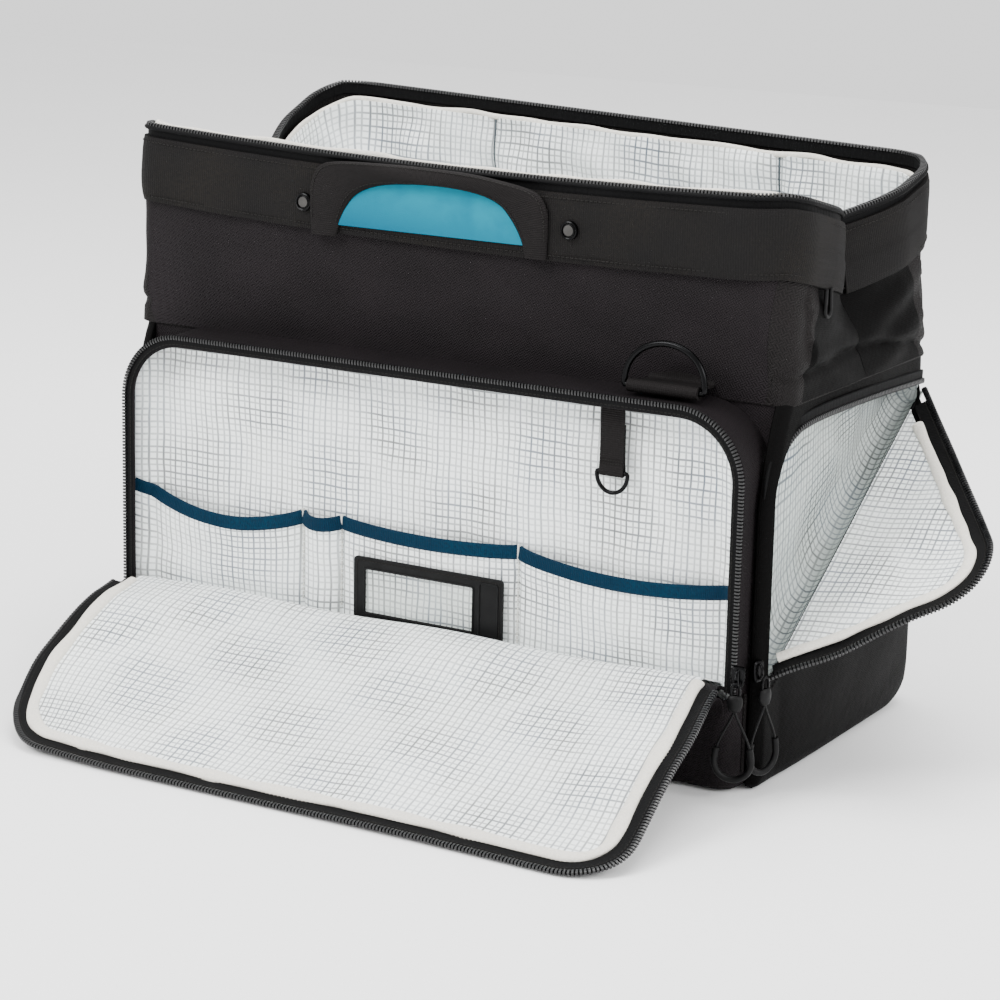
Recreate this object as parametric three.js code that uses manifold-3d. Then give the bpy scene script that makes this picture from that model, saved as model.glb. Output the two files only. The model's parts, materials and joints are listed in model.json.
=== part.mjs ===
// A doctor-style camera shoulder bag with a gate mouth, an organizer pocket that folds
// down at the front and a zipped pocket on each side.
// Millimetres. The origin is the centre of the base underside, +X is the bag's right
// (seen from the front), -Y is the front and +Z is up.
import * as THREE from "three";
import { mergeVertices } from "three/addons/utils/BufferGeometryUtils.js";
import Module from "manifold-3d";

const wasm = await Module();
wasm.setup();

// Driving dimensions
const GAP = 0.4; // clearance between pieces that touch
const HALF_WIDTH = 263; // bag body
const HALF_DEPTH = 122.5;
const WALL = 8; // padded wall
const SKIN = 3.5; // unpadded fabric panel
const CORNER_R = 25; // upright corners of the side panels
const WALL_TOP = 262; // top of the padded walls, where the slack upper panels start
const INNER_WALL_X = 237; // outer face of the wall between main compartment and side pocket

const BASE_T = 4; // base fabric, then the stiff board on it
const BOARD_T = 4;

const RIM_X = 263; // mouth rim, outer faces
const RIM_Y = 132.5;
const RIM_R = 45;
const NOTCH_Z = 371; // lower end of the main zip, at the middle of each side
const NOTCH_X = 240;
const LEG_END = 33; // where the rim's legs stop, either side of the notch
const LEG_BEND = 62; // where the legs start to bend in towards the notch
const FRONT_RIM_Z = 399;
const BACK_RIM_Z = 407;
const ZIP_TAPE = 7; // height of the zip above the webbing band
const BAND_H = 47;
const BAND_T = 3;

const POCKET_X = 252; // front pocket
const POCKET_TOP = 262;
const POCKET_R = 50;
const POCKET_DEPTH = 40;
const HINGE_Z = 64; // fold line of the front flap
const FLAP_LENGTH = 197;
const FLAP_OPEN = 107.5; // degrees from closed to lying on the floor
const FLAP_T = 4;

const ORGANIZER_Y = -141.5; // face of the padded organizer panel
const ORGANIZER_T = 5;
const SLIP_Y = -150.5; // face of the slip pockets on it
const SLIP_TOP = 134;
const SLIP_BOTTOM = 67;

const SIDE_TOP_BACK = [109.5, 236]; // side flap outline, as Y and Z with the flap closed
const SIDE_FOOT_FRONT = [-134.5, 76];
const SIDE_TOP_FRONT = [-134.5, 246];
const SIDE_R = 50;
const SIDE_OPEN = 75; // degrees that the right flap hangs open
const ZIP_W = 6;
const PULL_T = 4; // thickness of a zip pull's grip

const RING_HALF = 32; // D-rings, half their width
const RING_TAB = 24; // and half their tabs' width
const FRONT_Y = -HALF_DEPTH;
const POCKET_Y = FRONT_Y - POCKET_DEPTH;

const rad = THREE.MathUtils.degToRad;
const finish = (color, roughness, metalness = 0) =>
  new THREE.MeshStandardMaterial({ color, roughness, metalness });
const ballistic = () => finish(0x2b282a, 0.85);
const smoothNylon = () => finish(0x1d1c1b, 0.6);
const webbing = () => finish(0x33312f, 0.75);
const lining = () => finish(0xdfe6e2, 0.8);
const teal = () => finish(0x0f5a78, 0.7);
const brightTeal = () => finish(0x00aabe, 0.55);
const zipper = () => finish(0x151515, 0.5);
const blackMetal = () => finish(0x111112, 0.3, 0.9);
const steel = () => finish(0x9a9a9c, 0.4, 1);
const rubber = () => finish(0x1a1a1a, 0.7);
const clear = () => finish(0xe8eeee, 0.2);

const bag = new THREE.Group();

function place(name, geometry, material, parent = bag) {
  const mesh = new THREE.Mesh(geometry, material);
  mesh.name = name;
  parent.add(mesh);
  return mesh;
}

// A closed outline from [x, y, corner radius] points.
function outline(points, Kind = THREE.Shape) {
  const shape = new Kind();
  const at = (i) => new THREE.Vector2(...points.at(i % points.length));
  points.forEach(([x, y, r = 0], i) => {
    const here = new THREE.Vector2(x, y);
    const before = at(i - 1).sub(here).normalize().multiplyScalar(r).add(here);
    const after = at(i + 1).sub(here).normalize().multiplyScalar(r).add(here);
    if (i) shape.lineTo(before.x, before.y);
    else shape.moveTo(before.x, before.y);
    if (r) shape.bezierCurveTo(...towards(before, here), ...towards(after, here), after.x, after.y);
  });
  shape.closePath();
  return shape;
}

// The control point of a round corner's Bezier curve.
const towards = (end, corner) => end.clone().lerp(corner, 0.55).toArray();

function extrude(shape, depth, curveSegments = 6) {
  return new THREE.ExtrudeGeometry(shape, { depth, bevelEnabled: false, curveSegments });
}

// A plan outline (X, Y) raised from z0 to z1.
const upright = (shape, z0, z1) => extrude(shape, z1 - z0).translate(0, 0, z0);

// A front view outline (X, Z) between y0 (front) and y1 (back).
const facing = (shape, y0, y1) => extrude(shape, y1 - y0).rotateX(Math.PI / 2).translate(0, y1, 0);

// A side view outline (Y, Z) between x0 and x1.
const SIDE_BASIS = new THREE.Matrix4().makeBasis(
  new THREE.Vector3(0, 1, 0),
  new THREE.Vector3(0, 0, 1),
  new THREE.Vector3(1, 0, 0),
);
const sideways = (shape, x0, x1) =>
  extrude(shape, x1 - x0).applyMatrix4(SIDE_BASIS).translate(x0, 0, 0);

const rect = (x0, y0, x1, y1, r = 0) =>
  outline([[x0, y0, r], [x1, y0, r], [x1, y1, r], [x0, y1, r]]);

const block = (x0, y0, z0, x1, y1, z1) => upright(rect(x0, y0, x1, y1), z0, z1);

function solidOf(geometry) {
  const bare = geometry.clone();
  bare.deleteAttribute("normal");
  bare.deleteAttribute("uv");
  const merged = mergeVertices(bare, 1e-4);
  return new wasm.Manifold(
    new wasm.Mesh({
      numProp: 3,
      vertProperties: merged.attributes.position.array,
      triVerts: new Uint32Array(merged.index.array),
    }),
  );
}

function geometryOf(solid) {
  const { vertProperties, triVerts } = solid.getMesh();
  const geometry = new THREE.BufferGeometry();
  geometry.setAttribute("position", new THREE.BufferAttribute(vertProperties, 3));
  geometry.setIndex(new THREE.BufferAttribute(triVerts, 1));
  geometry.computeVertexNormals();
  return geometry;
}

const cut = (body, ...tools) =>
  geometryOf(tools.reduce((left, tool) => left.subtract(solidOf(tool)), solidOf(body)));
const join = (...pieces) => geometryOf(pieces.map(solidOf).reduce((a, b) => a.add(b)));

// Mirrors a geometry to the bag's other side, with its faces turned back out.
function mirrored(geometry, axis) {
  const flip = new THREE.Vector3(1, 1, 1).setComponent(axis, -1);
  return geometryOf(solidOf(geometry).mirror([1 - flip.x, 1 - flip.y, 1 - flip.z]));
}

// ---------------------------------------------------------------- body of the bag

function base() {
  const outer = (inset) =>
    rect(-HALF_WIDTH + inset, FRONT_Y + inset, HALF_WIDTH - inset, -FRONT_Y - inset, CORNER_R);
  place("base_panel", upright(outer(0), 0, BASE_T), ballistic());
  const board = upright(
    rect(-228, FRONT_Y + WALL + GAP, 228, -FRONT_Y - WALL - GAP, 10),
    BASE_T + GAP,
    BASE_T + GAP + BOARD_T,
  );
  place("base_board", board, smoothNylon());
}

function walls() {
  const z0 = BASE_T + GAP;
  const long = (y0, y1) => block(-HALF_WIDTH + CORNER_R, y0, z0, HALF_WIDTH - CORNER_R, y1, WALL_TOP);
  place("front_wall", long(FRONT_Y, FRONT_Y + WALL), ballistic());
  place("back_wall", long(-FRONT_Y - WALL, -FRONT_Y), ballistic());
  const inside = FRONT_Y + WALL + GAP;
  const short = block(INNER_WALL_X - WALL, inside, z0, INNER_WALL_X, -inside, WALL_TOP);
  place("right_wall", short, lining());
  place("left_wall", mirrored(short, 0), lining());

  const x = INNER_WALL_X - WALL - GAP;
  const y = HALF_DEPTH - WALL - GAP;
  const floor = BASE_T + BOARD_T + 2 * GAP;
  const tray = cut(
    block(-x, -y, floor, x, y, WALL_TOP),
    block(-x + 2, -y + 2, floor + 2, x - 2, y - 2, WALL_TOP + 1),
  );
  place("interior_lining", tray, lining());
}

// The plan of a side panel: a C that turns both upright corners.
function sidePlan(t) {
  const x = HALF_WIDTH;
  const start = x - CORNER_R + GAP;
  const r = CORNER_R;
  const inner = r - t;
  return outline([
    [start, FRONT_Y],
    [x, FRONT_Y, r - GAP],
    [x, -FRONT_Y, r - GAP],
    [start, -FRONT_Y],
    [start, -FRONT_Y - t],
    [x - t, -FRONT_Y - t, inner - GAP],
    [x - t, FRONT_Y + t, inner - GAP],
    [start, FRONT_Y + t],
  ]);
}

// The side flap's outline in the closed pocket, smaller by inset along its zipped edges
// and by fold along its folded edge.
function flapOutline(inset, fold) {
  const [ya, za] = SIDE_TOP_BACK;
  const [yb, zb] = SIDE_FOOT_FRONT;
  const [yc, zc] = SIDE_TOP_FRONT;
  const slope = (za - zb) / (ya - yb);
  const rise = fold * Math.hypot(1, slope); // the fold line moved up square to itself
  const topSlope = (za - zc) / (ya - yc);
  const top = (y) => zc - inset + topSlope * (y - yc);
  const foldAt = (y) => zb + rise + slope * (y - yb);
  const front = yc + inset;
  const back = (zc - inset - topSlope * yc - zb - rise + slope * yb) / (slope - topSlope);
  return outline([
    [front, foldAt(front)],
    [back, foldAt(back)],
    [front, top(front), SIDE_R - inset],
  ]);
}

function sidePanels() {
  const shell = cut(
    join(
      upright(sidePlan(SKIN), BASE_T + GAP, WALL_TOP),
      block(INNER_WALL_X + GAP, -95, WALL_TOP - SKIN, HALF_WIDTH - 1, 95, WALL_TOP),
    ),
    sideways(flapOutline(-ZIP_W - 2 * GAP, -GAP), HALF_WIDTH - CORNER_R - 5, HALF_WIDTH + 5),
  );
  place("right_side_panel", shell, smoothNylon());
  place("left_side_panel", mirrored(shell, 0), smoothNylon());

  // The body half of each side pocket's zip climbs beside the front pocket, then turns
  // back along the side.
  const route = new THREE.CatmullRomCurve3(
    [
      [257.5, -139.2, 80],
      [257.5, -139.2, 140],
      [257.5, -139.2, 196],
      [258, -134, 222],
      [259.5, -115, 242],
      [261, -84, 250],
      [261, 10, 250],
      [261, 112, 246],
    ].map((p) => new THREE.Vector3(...p)),
  );
  const tape = new THREE.ExtrudeGeometry(rect(-2.2, -2.2, 2.2, 2.2), {
    steps: 34,
    bevelEnabled: false,
    extrudePath: route,
  });
  const trimmed = cut(tape, shell);
  place("right_pocket_zip", trimmed, zipper());
  place("left_pocket_zip", mirrored(trimmed, 0), zipper());
}

// ---------------------------------------------------------------- slack upper part

// Height of the main zip along a leg of the rim, from the notch to the corner.
const zipLine = (rimZ) => (y) =>
  NOTCH_Z + (rimZ - NOTCH_Z) * Math.min(1, Math.abs(y) / (RIM_Y - RIM_R / 3));

// Half of the rim's plan as a strip between two offsets inside the rim's outer face: the
// front run, two round corners and two legs that bend in towards the notch.
function rimPlan(outer, inner, legEnd, depth = RIM_Y) {
  const bend = (y) => (NOTCH_X - RIM_X) * (1 - Math.min(1, Math.abs(y) / LEG_BEND)) ** 1.6;
  const edge = (offset) => {
    const points = [];
    const r = RIM_R - offset;
    const cx = RIM_X - RIM_R;
    const cy = -depth + RIM_R;
    for (let y = legEnd; y < LEG_BEND; y += 8) points.push([RIM_X - offset + bend(y), -y]);
    for (let i = 0; i <= 8; i++) {
      const a = (i / 8) * (Math.PI / 2);
      points.push([cx + r * Math.cos(a), cy - r * Math.sin(a)]);
    }
    const left = points.map(([x, y]) => [-x, y]).reverse();
    const middle = [-150, -75, 0, 75, 150].reverse().map((x) => [x, -depth + offset]);
    return [...points, ...middle, ...left];
  };
  const strip = [...edge(outer), ...edge(inner).reverse()];
  return new THREE.Shape(strip.map(([x, y]) => new THREE.Vector2(x, y)).reverse());
}

// A strip standing between two height lines.
function standing(plan, low, high) {
  const geometry = extrude(plan, 1);
  const p = geometry.attributes.position;
  for (let i = 0; i < p.count; i++) {
    const line = p.getZ(i) > 0.5 ? high : low;
    p.setZ(i, line(p.getY(i)));
  }
  return geometry;
}

function upperPanels() {
  const x = HALF_WIDTH - CORNER_R - GAP;
  const above = WALL_TOP + GAP;
  const panel = block(-x, FRONT_Y, above, x, FRONT_Y + SKIN, FRONT_RIM_Z - ZIP_TAPE - BAND_H);
  place("front_upper_panel", panel, ballistic());
  place("back_upper_panel", block(-x, -FRONT_Y - SKIN, above, x, -FRONT_Y, BACK_RIM_Z - ZIP_TAPE - BAND_H), ballistic());

  // Each side gusset is a front and a rear half that meet at the notch.
  const r = CORNER_R;
  const half = (rimZ) => {
    const line = zipLine(rimZ);
    const low = () => above;
    const bandFoot = (y) => line(y) - ZIP_TAPE - BAND_H - 1.2;
    const bend = (y) => (NOTCH_X - RIM_X) * (1 - Math.min(1, Math.abs(y) / LEG_BEND)) ** 1.6;
    const edge = (offset, from, to) => {
      const points = [];
      for (let y = from; y < Math.min(to, LEG_BEND); y += 8) points.push([RIM_X - offset + bend(y), -y]);
      if (to <= LEG_BEND) return [...points, [RIM_X - offset + bend(to), -to]];
      for (let i = 0; i <= 6; i++) {
        const a = (i / 6) * (Math.PI / 2);
        points.push([
          HALF_WIDTH - r + (r - offset) * Math.cos(a),
          FRONT_Y + r - (r - offset) * Math.sin(a),
        ]);
      }
      return points;
    };
    const strip = (from, to) =>
      new THREE.Shape(
        [...edge(0, from, to), ...edge(SKIN, from, to).reverse()]
          .map(([px, py]) => new THREE.Vector2(px, py))
          .reverse(),
      );
    return join(
      standing(strip(GAP, HALF_DEPTH), low, bandFoot),
      standing(strip(GAP, LEG_END - 2), low, (y) => line(y) - 1),
    );
  };
  const front = half(FRONT_RIM_Z);
  const rear = mirrored(half(BACK_RIM_Z), 1);
  place("right_front_gusset", front, smoothNylon());
  place("right_rear_gusset", rear, smoothNylon());
  place("left_front_gusset", mirrored(front, 0), smoothNylon());
  place("left_rear_gusset", mirrored(rear, 0), smoothNylon());
}

// ---------------------------------------------------------------- mouth halves

function handle(y) {
  // An arch of folded webbing, standing off the band.
  const arch = outline([
    [-107, 343, 3],
    [-92, 343, 3],
    [-92, 384, 16],
    [66, 384, 16],
    [66, 343, 3],
    [84, 343, 3],
    [84, 395, 22],
    [-107, 395, 22],
  ]);
  return facing(arch, y - 6, y);
}

function mouthHalf(prefix, rimZ) {
  const line = zipLine(rimZ);
  const front = prefix === "front";
  const turn = (geometry) => (front ? geometry : mirrored(geometry, 1));
  const lift = rimZ - FRONT_RIM_Z;

  const band = standing(
    rimPlan(0, BAND_T, LEG_END),
    (y) => line(y) - ZIP_TAPE - BAND_H,
    (y) => line(y) - ZIP_TAPE,
  );
  place(prefix + "_band", turn(band), webbing());

  const bar = standing(
    rimPlan(BAND_T + GAP, BAND_T + GAP + 2.5, LEG_END),
    (y) => line(y) - ZIP_TAPE - BAND_H / 2 - 8,
    (y) => line(y) - ZIP_TAPE - BAND_H / 2 + 8,
  );
  place(prefix + "_frame", turn(bar), steel());

  const tape = standing(rimPlan(1, 9, LEG_END), (y) => line(y) - ZIP_TAPE + 3 * GAP, line);
  place(prefix + "_rim_zip", turn(tape), zipper());

  const face = -RIM_Y - GAP;
  place(prefix + "_handle", turn(handle(face).translate(0, 0, lift)), webbing());
  if (front) {
    for (const [side, x] of [["left", -113.5], ["right", 101]]) {
      const rivet = new THREE.CylinderGeometry(5.5, 5.5, 2.6, 16).translate(x, face - 1.3, 364);
      place("rivet_" + side, rivet, blackMetal());
    }
    const patch = facing(rect(-90, 350, 64, 379, 6), face - 1.5, face);
    place("handle_backing", patch, brightTeal());
  }
}

// ---------------------------------------------------------------- front pocket

// The pocket's arch: upright sides and top with round corners, open at the bottom.
function arch(inset, foot) {
  const x = POCKET_X - inset;
  const top = POCKET_TOP - inset;
  return [[-x, foot], [x, foot], [x, top, POCKET_R - inset], [-x, top, POCKET_R - inset]];
}

function archStrip(inset, width, foot) {
  return (y0, y1) =>
    cut(
      facing(outline(arch(inset, foot)), y0, y1),
      facing(outline(arch(inset + width, foot - 5)), y0 - 1, y1 + 1),
    );
}

function frontPocket() {
  const back = FRONT_Y - GAP;
  place("front_pocket_gusset", archStrip(0, 3, HINGE_Z)(POCKET_Y, back), ballistic());
  const foot = cut(
    block(-POCKET_X, POCKET_Y, 0, POCKET_X, back, HINGE_Z - GAP),
    block(-POCKET_X + 3, POCKET_Y + 3, 3, POCKET_X - 3, back + 1, HINGE_Z - GAP - 3),
  );
  place("front_pocket_foot", foot, ballistic());
  place("front_pocket_zip", archStrip(0.5, ZIP_W, HINGE_Z + 8)(POCKET_Y - GAP - 3.5, POCKET_Y - GAP), zipper());

  const panel = facing(outline(arch(3 + GAP, HINGE_Z + GAP)), ORGANIZER_Y, ORGANIZER_Y + ORGANIZER_T);
  place("organizer_panel", panel, lining());

  const slips = [
    ["left_slip_pocket", -246, -105],
    ["pen_pocket", -105, -72],
    ["centre_slip_pocket", -72, 74],
    ["right_slip_pocket", 74, 240],
  ];
  const backY = ORGANIZER_Y - GAP;
  for (const [name, x0, x1] of slips) {
    const plan = (inset) =>
      outline([
        [x0 + GAP / 2 + inset, backY + (inset ? 1 : 0)],
        [x0 + 2 + inset, SLIP_Y + inset],
        [x1 - 2 - inset, SLIP_Y + inset],
        [x1 - GAP / 2 - inset, backY + (inset ? 1 : 0)],
      ]);
    const bag = cut(
      upright(plan(0), SLIP_BOTTOM, SLIP_TOP),
      upright(plan(2), SLIP_BOTTOM + 2, SLIP_TOP + 1),
    );
    place(name, bag, lining());
  }
  const x0 = slips[0][1] + 3;
  const x1 = slips.at(-1)[2] - 3;
  place("pocket_binding", block(x0, SLIP_Y - 0.4, SLIP_TOP + GAP, x1, SLIP_Y + 2, SLIP_TOP + 10), teal());

  const frame = rect(-57, 69, 66, 118, 3);
  frame.holes.push(outline([[-48, 77, 1], [42, 77, 1], [42, 110, 1], [-48, 110, 1]], THREE.Path));
  place("window_frame", facing(frame, SLIP_Y - GAP - 1.4, SLIP_Y - GAP), smoothNylon());
  place("window_pane", facing(rect(-47.6, 77.4, 41.6, 109.6), SLIP_Y - GAP - 0.8, SLIP_Y - GAP), clear());
}

function keyStrap() {
  place("key_strap", block(139, -152, 210, 157, -150, 252), webbing());
  const ring = rect(138.5, 191, 157.5, 208.6, 7);
  ring.holes.push(outline([[141.5, 194, 4.5], [154.5, 194, 4.5], [154.5, 205.6, 4.5], [141.5, 205.6, 4.5]], THREE.Path));
  place("key_ring", facing(ring, -152.5, -149.5), blackMetal());
}

function frontFlap() {
  // Drawn closed against the zip, then swung down on to the floor about its fold line.
  const hinge = new THREE.Group();
  hinge.position.set(0, POCKET_Y - FLAP_T - GAP, HINGE_Z);
  hinge.rotation.x = rad(FLAP_OPEN);
  bag.add(hinge);
  const x = POCKET_X;
  const flap = (inset) =>
    outline([
      [-x + inset, 1],
      [x - inset, 1],
      [x - inset, FLAP_LENGTH - inset, POCKET_R - inset],
      [-x + inset, FLAP_LENGTH - inset, POCKET_R - inset],
    ]);
  const edge = cut(
    facing(flap(0.5), -FLAP_T, 0),
    facing(flap(0.5 + ZIP_W), -FLAP_T - 1, 1),
    block(-x - 1, -10, -1, x + 1, 10, 1 + GAP),
    block(-x + ZIP_W, -10, -1, x - ZIP_W, 10, 12),
  );
  place("front_flap_panel", facing(flap(0.5 + ZIP_W + GAP), -FLAP_T, 0), ballistic(), hinge);
  place("front_flap_zip", edge, zipper(), hinge);
}

// ---------------------------------------------------------------- side flaps

function sideFlap(side, open) {
  const sign = side === "right" ? 1 : -1;
  const [ya, za] = SIDE_TOP_BACK;
  const [yb, zb] = SIDE_FOOT_FRONT;
  const x = HALF_WIDTH + GAP;
  const fold = new THREE.Vector3(0, ya - yb, za - zb).normalize();
  const hinge = new THREE.Group();
  hinge.position.set(sign * x, yb, zb);
  hinge.quaternion.setFromAxisAngle(fold, sign * rad(open));
  bag.add(hinge);
  const local = (geometry) => {
    const placed = geometry.translate(-x, -yb, -zb);
    return sign > 0 ? placed : mirrored(placed, 0);
  };
  const plate = (inset) => sideways(flapOutline(inset, 1.2), HALF_WIDTH - SKIN, HALF_WIDTH);
  const tape = cut(
    sideways(flapOutline(GAP, 3), HALF_WIDTH - SKIN, HALF_WIDTH),
    sideways(flapOutline(GAP + ZIP_W, -30), HALF_WIDTH - SKIN - 1, HALF_WIDTH + 1),
  );
  place(side + "_flap_panel", local(plate(2 * GAP + ZIP_W)), smoothNylon(), hinge);
  place(side + "_flap_zip", local(tape), zipper(), hinge);
}

// ---------------------------------------------------------------- sliders and rings

// A slider's body, long along one axis, with a smaller bridge on its outer side.
function slider(name, [x, y, z], [w, d, h], [bx, by]) {
  const body = join(
    block(x - w / 2, y - d / 2, z - h / 2, x + w / 2, y + d / 2, z + h / 2),
    block(
      x - 1.5 + bx * (w / 2 + 0.5),
      y - 1.5 + by * (d / 2 + 0.5),
      z - h / 3,
      x + 1.5 + bx * (w / 2 + 0.5),
      y + 1.5 + by * (d / 2 + 0.5),
      z + h / 3,
    ),
  );
  place(name + "_slider", body, blackMetal());
}

// A cord loop in a moulded grip, hanging from a slider. It faces the front, or the side.
function pull(name, [x, y, z], length, facesSide) {
  const loop = rect(-5, -length, 5, 0, 4.5);
  const grip = -length + Math.min(16, length / 4);
  loop.holes.push(outline([[-2.2, grip, 2], [2.2, grip, 2], [2.2, -4, 2], [-2.2, -4, 2]], THREE.Path));
  const plate = facesSide ? sideways(loop, 0, PULL_T) : facing(loop, 0, PULL_T);
  place(name + "_pull", plate.translate(x, y, z), rubber());
}

function slidersAndPulls() {
  // Front pocket: parked at the foot of the zip, at the pocket's right corner.
  slider("front_pocket", [256, -166.5, 85], [6.4, 8, 14], [0, -1]);
  pull("front_pocket", [258, -176.4, 80], 66, false);
  // Right side pocket: parked at the foot of its zip.
  slider("right_pocket", [258.5, -146, 85], [7, 8, 14], [1, 0]);
  pull("right_pocket", [265.5, -146, 80], 66, true);
  // Left side pocket: parked at the rear end of its closed zip.
  slider("left_pocket", [-265.8, 114, 242], [4, 8, 14], [-1, 0]);
  pull("left_pocket", [-274.3, 114, 238], 60, true);
  // Main zip: parked behind the band of the front half's right leg, with its loop hanging
  // out under the band's lower edge.
  slider("main", [256, -72, 338.5], [4, 10, 12], [-1, 0]);
  pull("main", [263.6, -72, 330], 18, true);
}

// A D-ring in the rolled end of a webbing tab that is sewn to the wall. The ring's bar stands
// off the wall by reach, and the ring leans back a little.
function dRing(prefix, x, wallY, reach, z) {
  const sign = Math.sign(wallY);
  const barY = wallY + sign * reach;
  const sewn = wallY + sign * GAP;
  const layer = (to, low, high) =>
    block(x - RING_TAB, Math.min(sewn, to), low, x + RING_TAB, Math.max(sewn, to), high);
  const roll = outline([
    [barY - 5.5, z - 5.5, 3],
    [barY + 5.5, z - 5.5, 3],
    [barY + 5.5, z + 5.5, 3],
    [barY - 5.5, z + 5.5, 3],
  ]);
  const tab = cut(
    join(
      sideways(roll, x - RING_TAB, x + RING_TAB),
      layer(barY, z - 1.2, z + 1.2),
      layer(wallY + sign * 2.4, z - 1.2, z + 30),
    ),
    new THREE.CylinderGeometry(4.1, 4.1, 70, 12).rotateZ(Math.PI / 2).translate(x, barY, z),
  );
  place(prefix + "_ring_tab", tab, webbing());
  const w = RING_HALF;
  const v = w - 4.8;
  const ring = outline([[-w, -2.4, 4], [w, -2.4, 4], [w, 32, 27], [-w, 32, 27]]);
  ring.holes.push(outline([[-v, 2.4, 2], [v, 2.4, 2], [v, 27.2, 23], [-v, 27.2, 23]], THREE.Path));
  const hinge = new THREE.Group();
  hinge.position.set(x, barY, z);
  hinge.rotation.x = sign * rad(4);
  bag.add(hinge);
  place(prefix + "_d_ring", facing(ring, -2.4, 2.4), blackMetal(), hinge);
}

base();
walls();
sidePanels();
upperPanels();
mouthHalf("front", FRONT_RIM_Z);
mouthHalf("back", BACK_RIM_Z);
frontPocket();
keyStrap();
frontFlap();
sideFlap("right", SIDE_OPEN);
sideFlap("left", 0);
dRing("front", 184, FRONT_Y, 27.5, 268);
dRing("back", -184, -FRONT_Y, 7.5, 269);
slidersAndPulls();

export default bag;
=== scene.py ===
"""Looks of the gate-mouth camera shoulder bag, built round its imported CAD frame.

Lengths are millimetres in the row frame (origin at the centre of the base, -Y is the front)
until make() turns them into Blender's metres. A plan is a line of (x, y), an upright is a
line of (x, z), and a tag is "front" or "back" for a half of the mouth.
"""
import json
import math

import bmesh
import bpy
import numpy as np
from mathutils import Matrix, Vector

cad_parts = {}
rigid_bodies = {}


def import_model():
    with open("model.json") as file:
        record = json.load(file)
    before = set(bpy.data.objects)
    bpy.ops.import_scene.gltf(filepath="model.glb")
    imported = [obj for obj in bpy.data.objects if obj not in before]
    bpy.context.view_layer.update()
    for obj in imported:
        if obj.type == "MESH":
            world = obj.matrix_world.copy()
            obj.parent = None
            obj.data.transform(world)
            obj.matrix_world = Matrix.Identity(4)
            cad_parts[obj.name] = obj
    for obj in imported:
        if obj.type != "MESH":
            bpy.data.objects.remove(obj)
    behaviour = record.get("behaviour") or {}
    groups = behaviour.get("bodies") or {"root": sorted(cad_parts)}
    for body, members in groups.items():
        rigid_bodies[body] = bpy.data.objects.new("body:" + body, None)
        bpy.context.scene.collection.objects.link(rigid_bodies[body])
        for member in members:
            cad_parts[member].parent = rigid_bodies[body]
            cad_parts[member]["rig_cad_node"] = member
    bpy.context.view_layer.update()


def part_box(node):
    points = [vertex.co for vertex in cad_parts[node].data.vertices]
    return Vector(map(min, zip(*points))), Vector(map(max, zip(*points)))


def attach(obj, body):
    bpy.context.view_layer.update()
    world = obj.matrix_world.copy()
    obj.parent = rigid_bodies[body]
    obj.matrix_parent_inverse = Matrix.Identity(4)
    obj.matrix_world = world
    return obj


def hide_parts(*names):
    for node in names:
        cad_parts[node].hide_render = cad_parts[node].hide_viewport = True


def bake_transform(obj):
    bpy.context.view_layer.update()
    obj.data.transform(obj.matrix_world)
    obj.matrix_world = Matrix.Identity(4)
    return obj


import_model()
MM = 0.001


def node_box(name):
    """A CAD node's lowest and highest corners in millimetres."""
    low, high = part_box(name)
    return np.array(low) / MM, np.array(high) / MM


# ------------------------------------------------------------------ driving sizes
HALF_W, HALF_D = node_box("base_panel")[1][:2]
WALL_TOP = node_box("front_wall")[1][2]
BAND_LOW, BAND_HIGH = node_box("front_band")
RIM_X, RIM_Y = BAND_HIGH[0], -BAND_LOW[1]
NOTCH_X, NOTCH_Z = 240.0, 371.0  # the lower end of the main zip, at each side
LEG_BEND = 62.0  # where the rim's legs start to turn in towards the notch
BAND_H = 47.0
TAPE_H = 8.0  # the zip's height above the band
POCKET_LOW, POCKET_HIGH = node_box("front_pocket_gusset")
POCKET_X, POCKET_TOP = POCKET_HIGH[0], POCKET_HIGH[2]
POCKET_Y, HINGE_Z = POCKET_LOW[1], POCKET_LOW[2]
POCKET_R = 50.0
PANEL_Y = node_box("organizer_panel")[0][1]
SLIP_LOW, SLIP_HIGH = node_box("centre_slip_pocket")
FORWARD, UP = np.array([0.0, -1.0, 0.0]), np.array([0.0, 0.0, 1.0])

# Zip coils and stitches: pitch, size across the line, height and size along the line.
COIL_ROW = (2.6, 4.6, 2.0, 1.5)
RIM_COIL_ROW = (2.6, 5.2, 1.9, 1.5)
SIDE_COIL_ROW = (2.6, 4.4, 1.9, 1.5)
ARCH_COIL_ROW = (2.4, 3.8, 1.8, 1.3)
STITCH_ROW = (3.2, 0.6, 0.35, 2.2)
ARCH_STITCH_ROW = (3.2, 0.6, 0.4, 2.2)
FOLD_STITCH_ROW = (3.2, 0.6, 0.6, 2.2)
GRIP_STITCH_ROW = (3.2, 0.7, 0.8, 2.2)
BAND_STITCH_ROW = (3.4, 0.7, 0.6, 2.4)
WINDOW_STITCH_ROW = (2.6, 0.6, 0.4, 1.8)
STRAP_STITCH_ROW = (2.0, 0.6, 0.5, 1.3)
TACK_ROW = (3.0, 1.1, 0.9, 2.1)
BAR_TACK_ROW = (1.1, 1.7, 1.2, 0.9)


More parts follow.
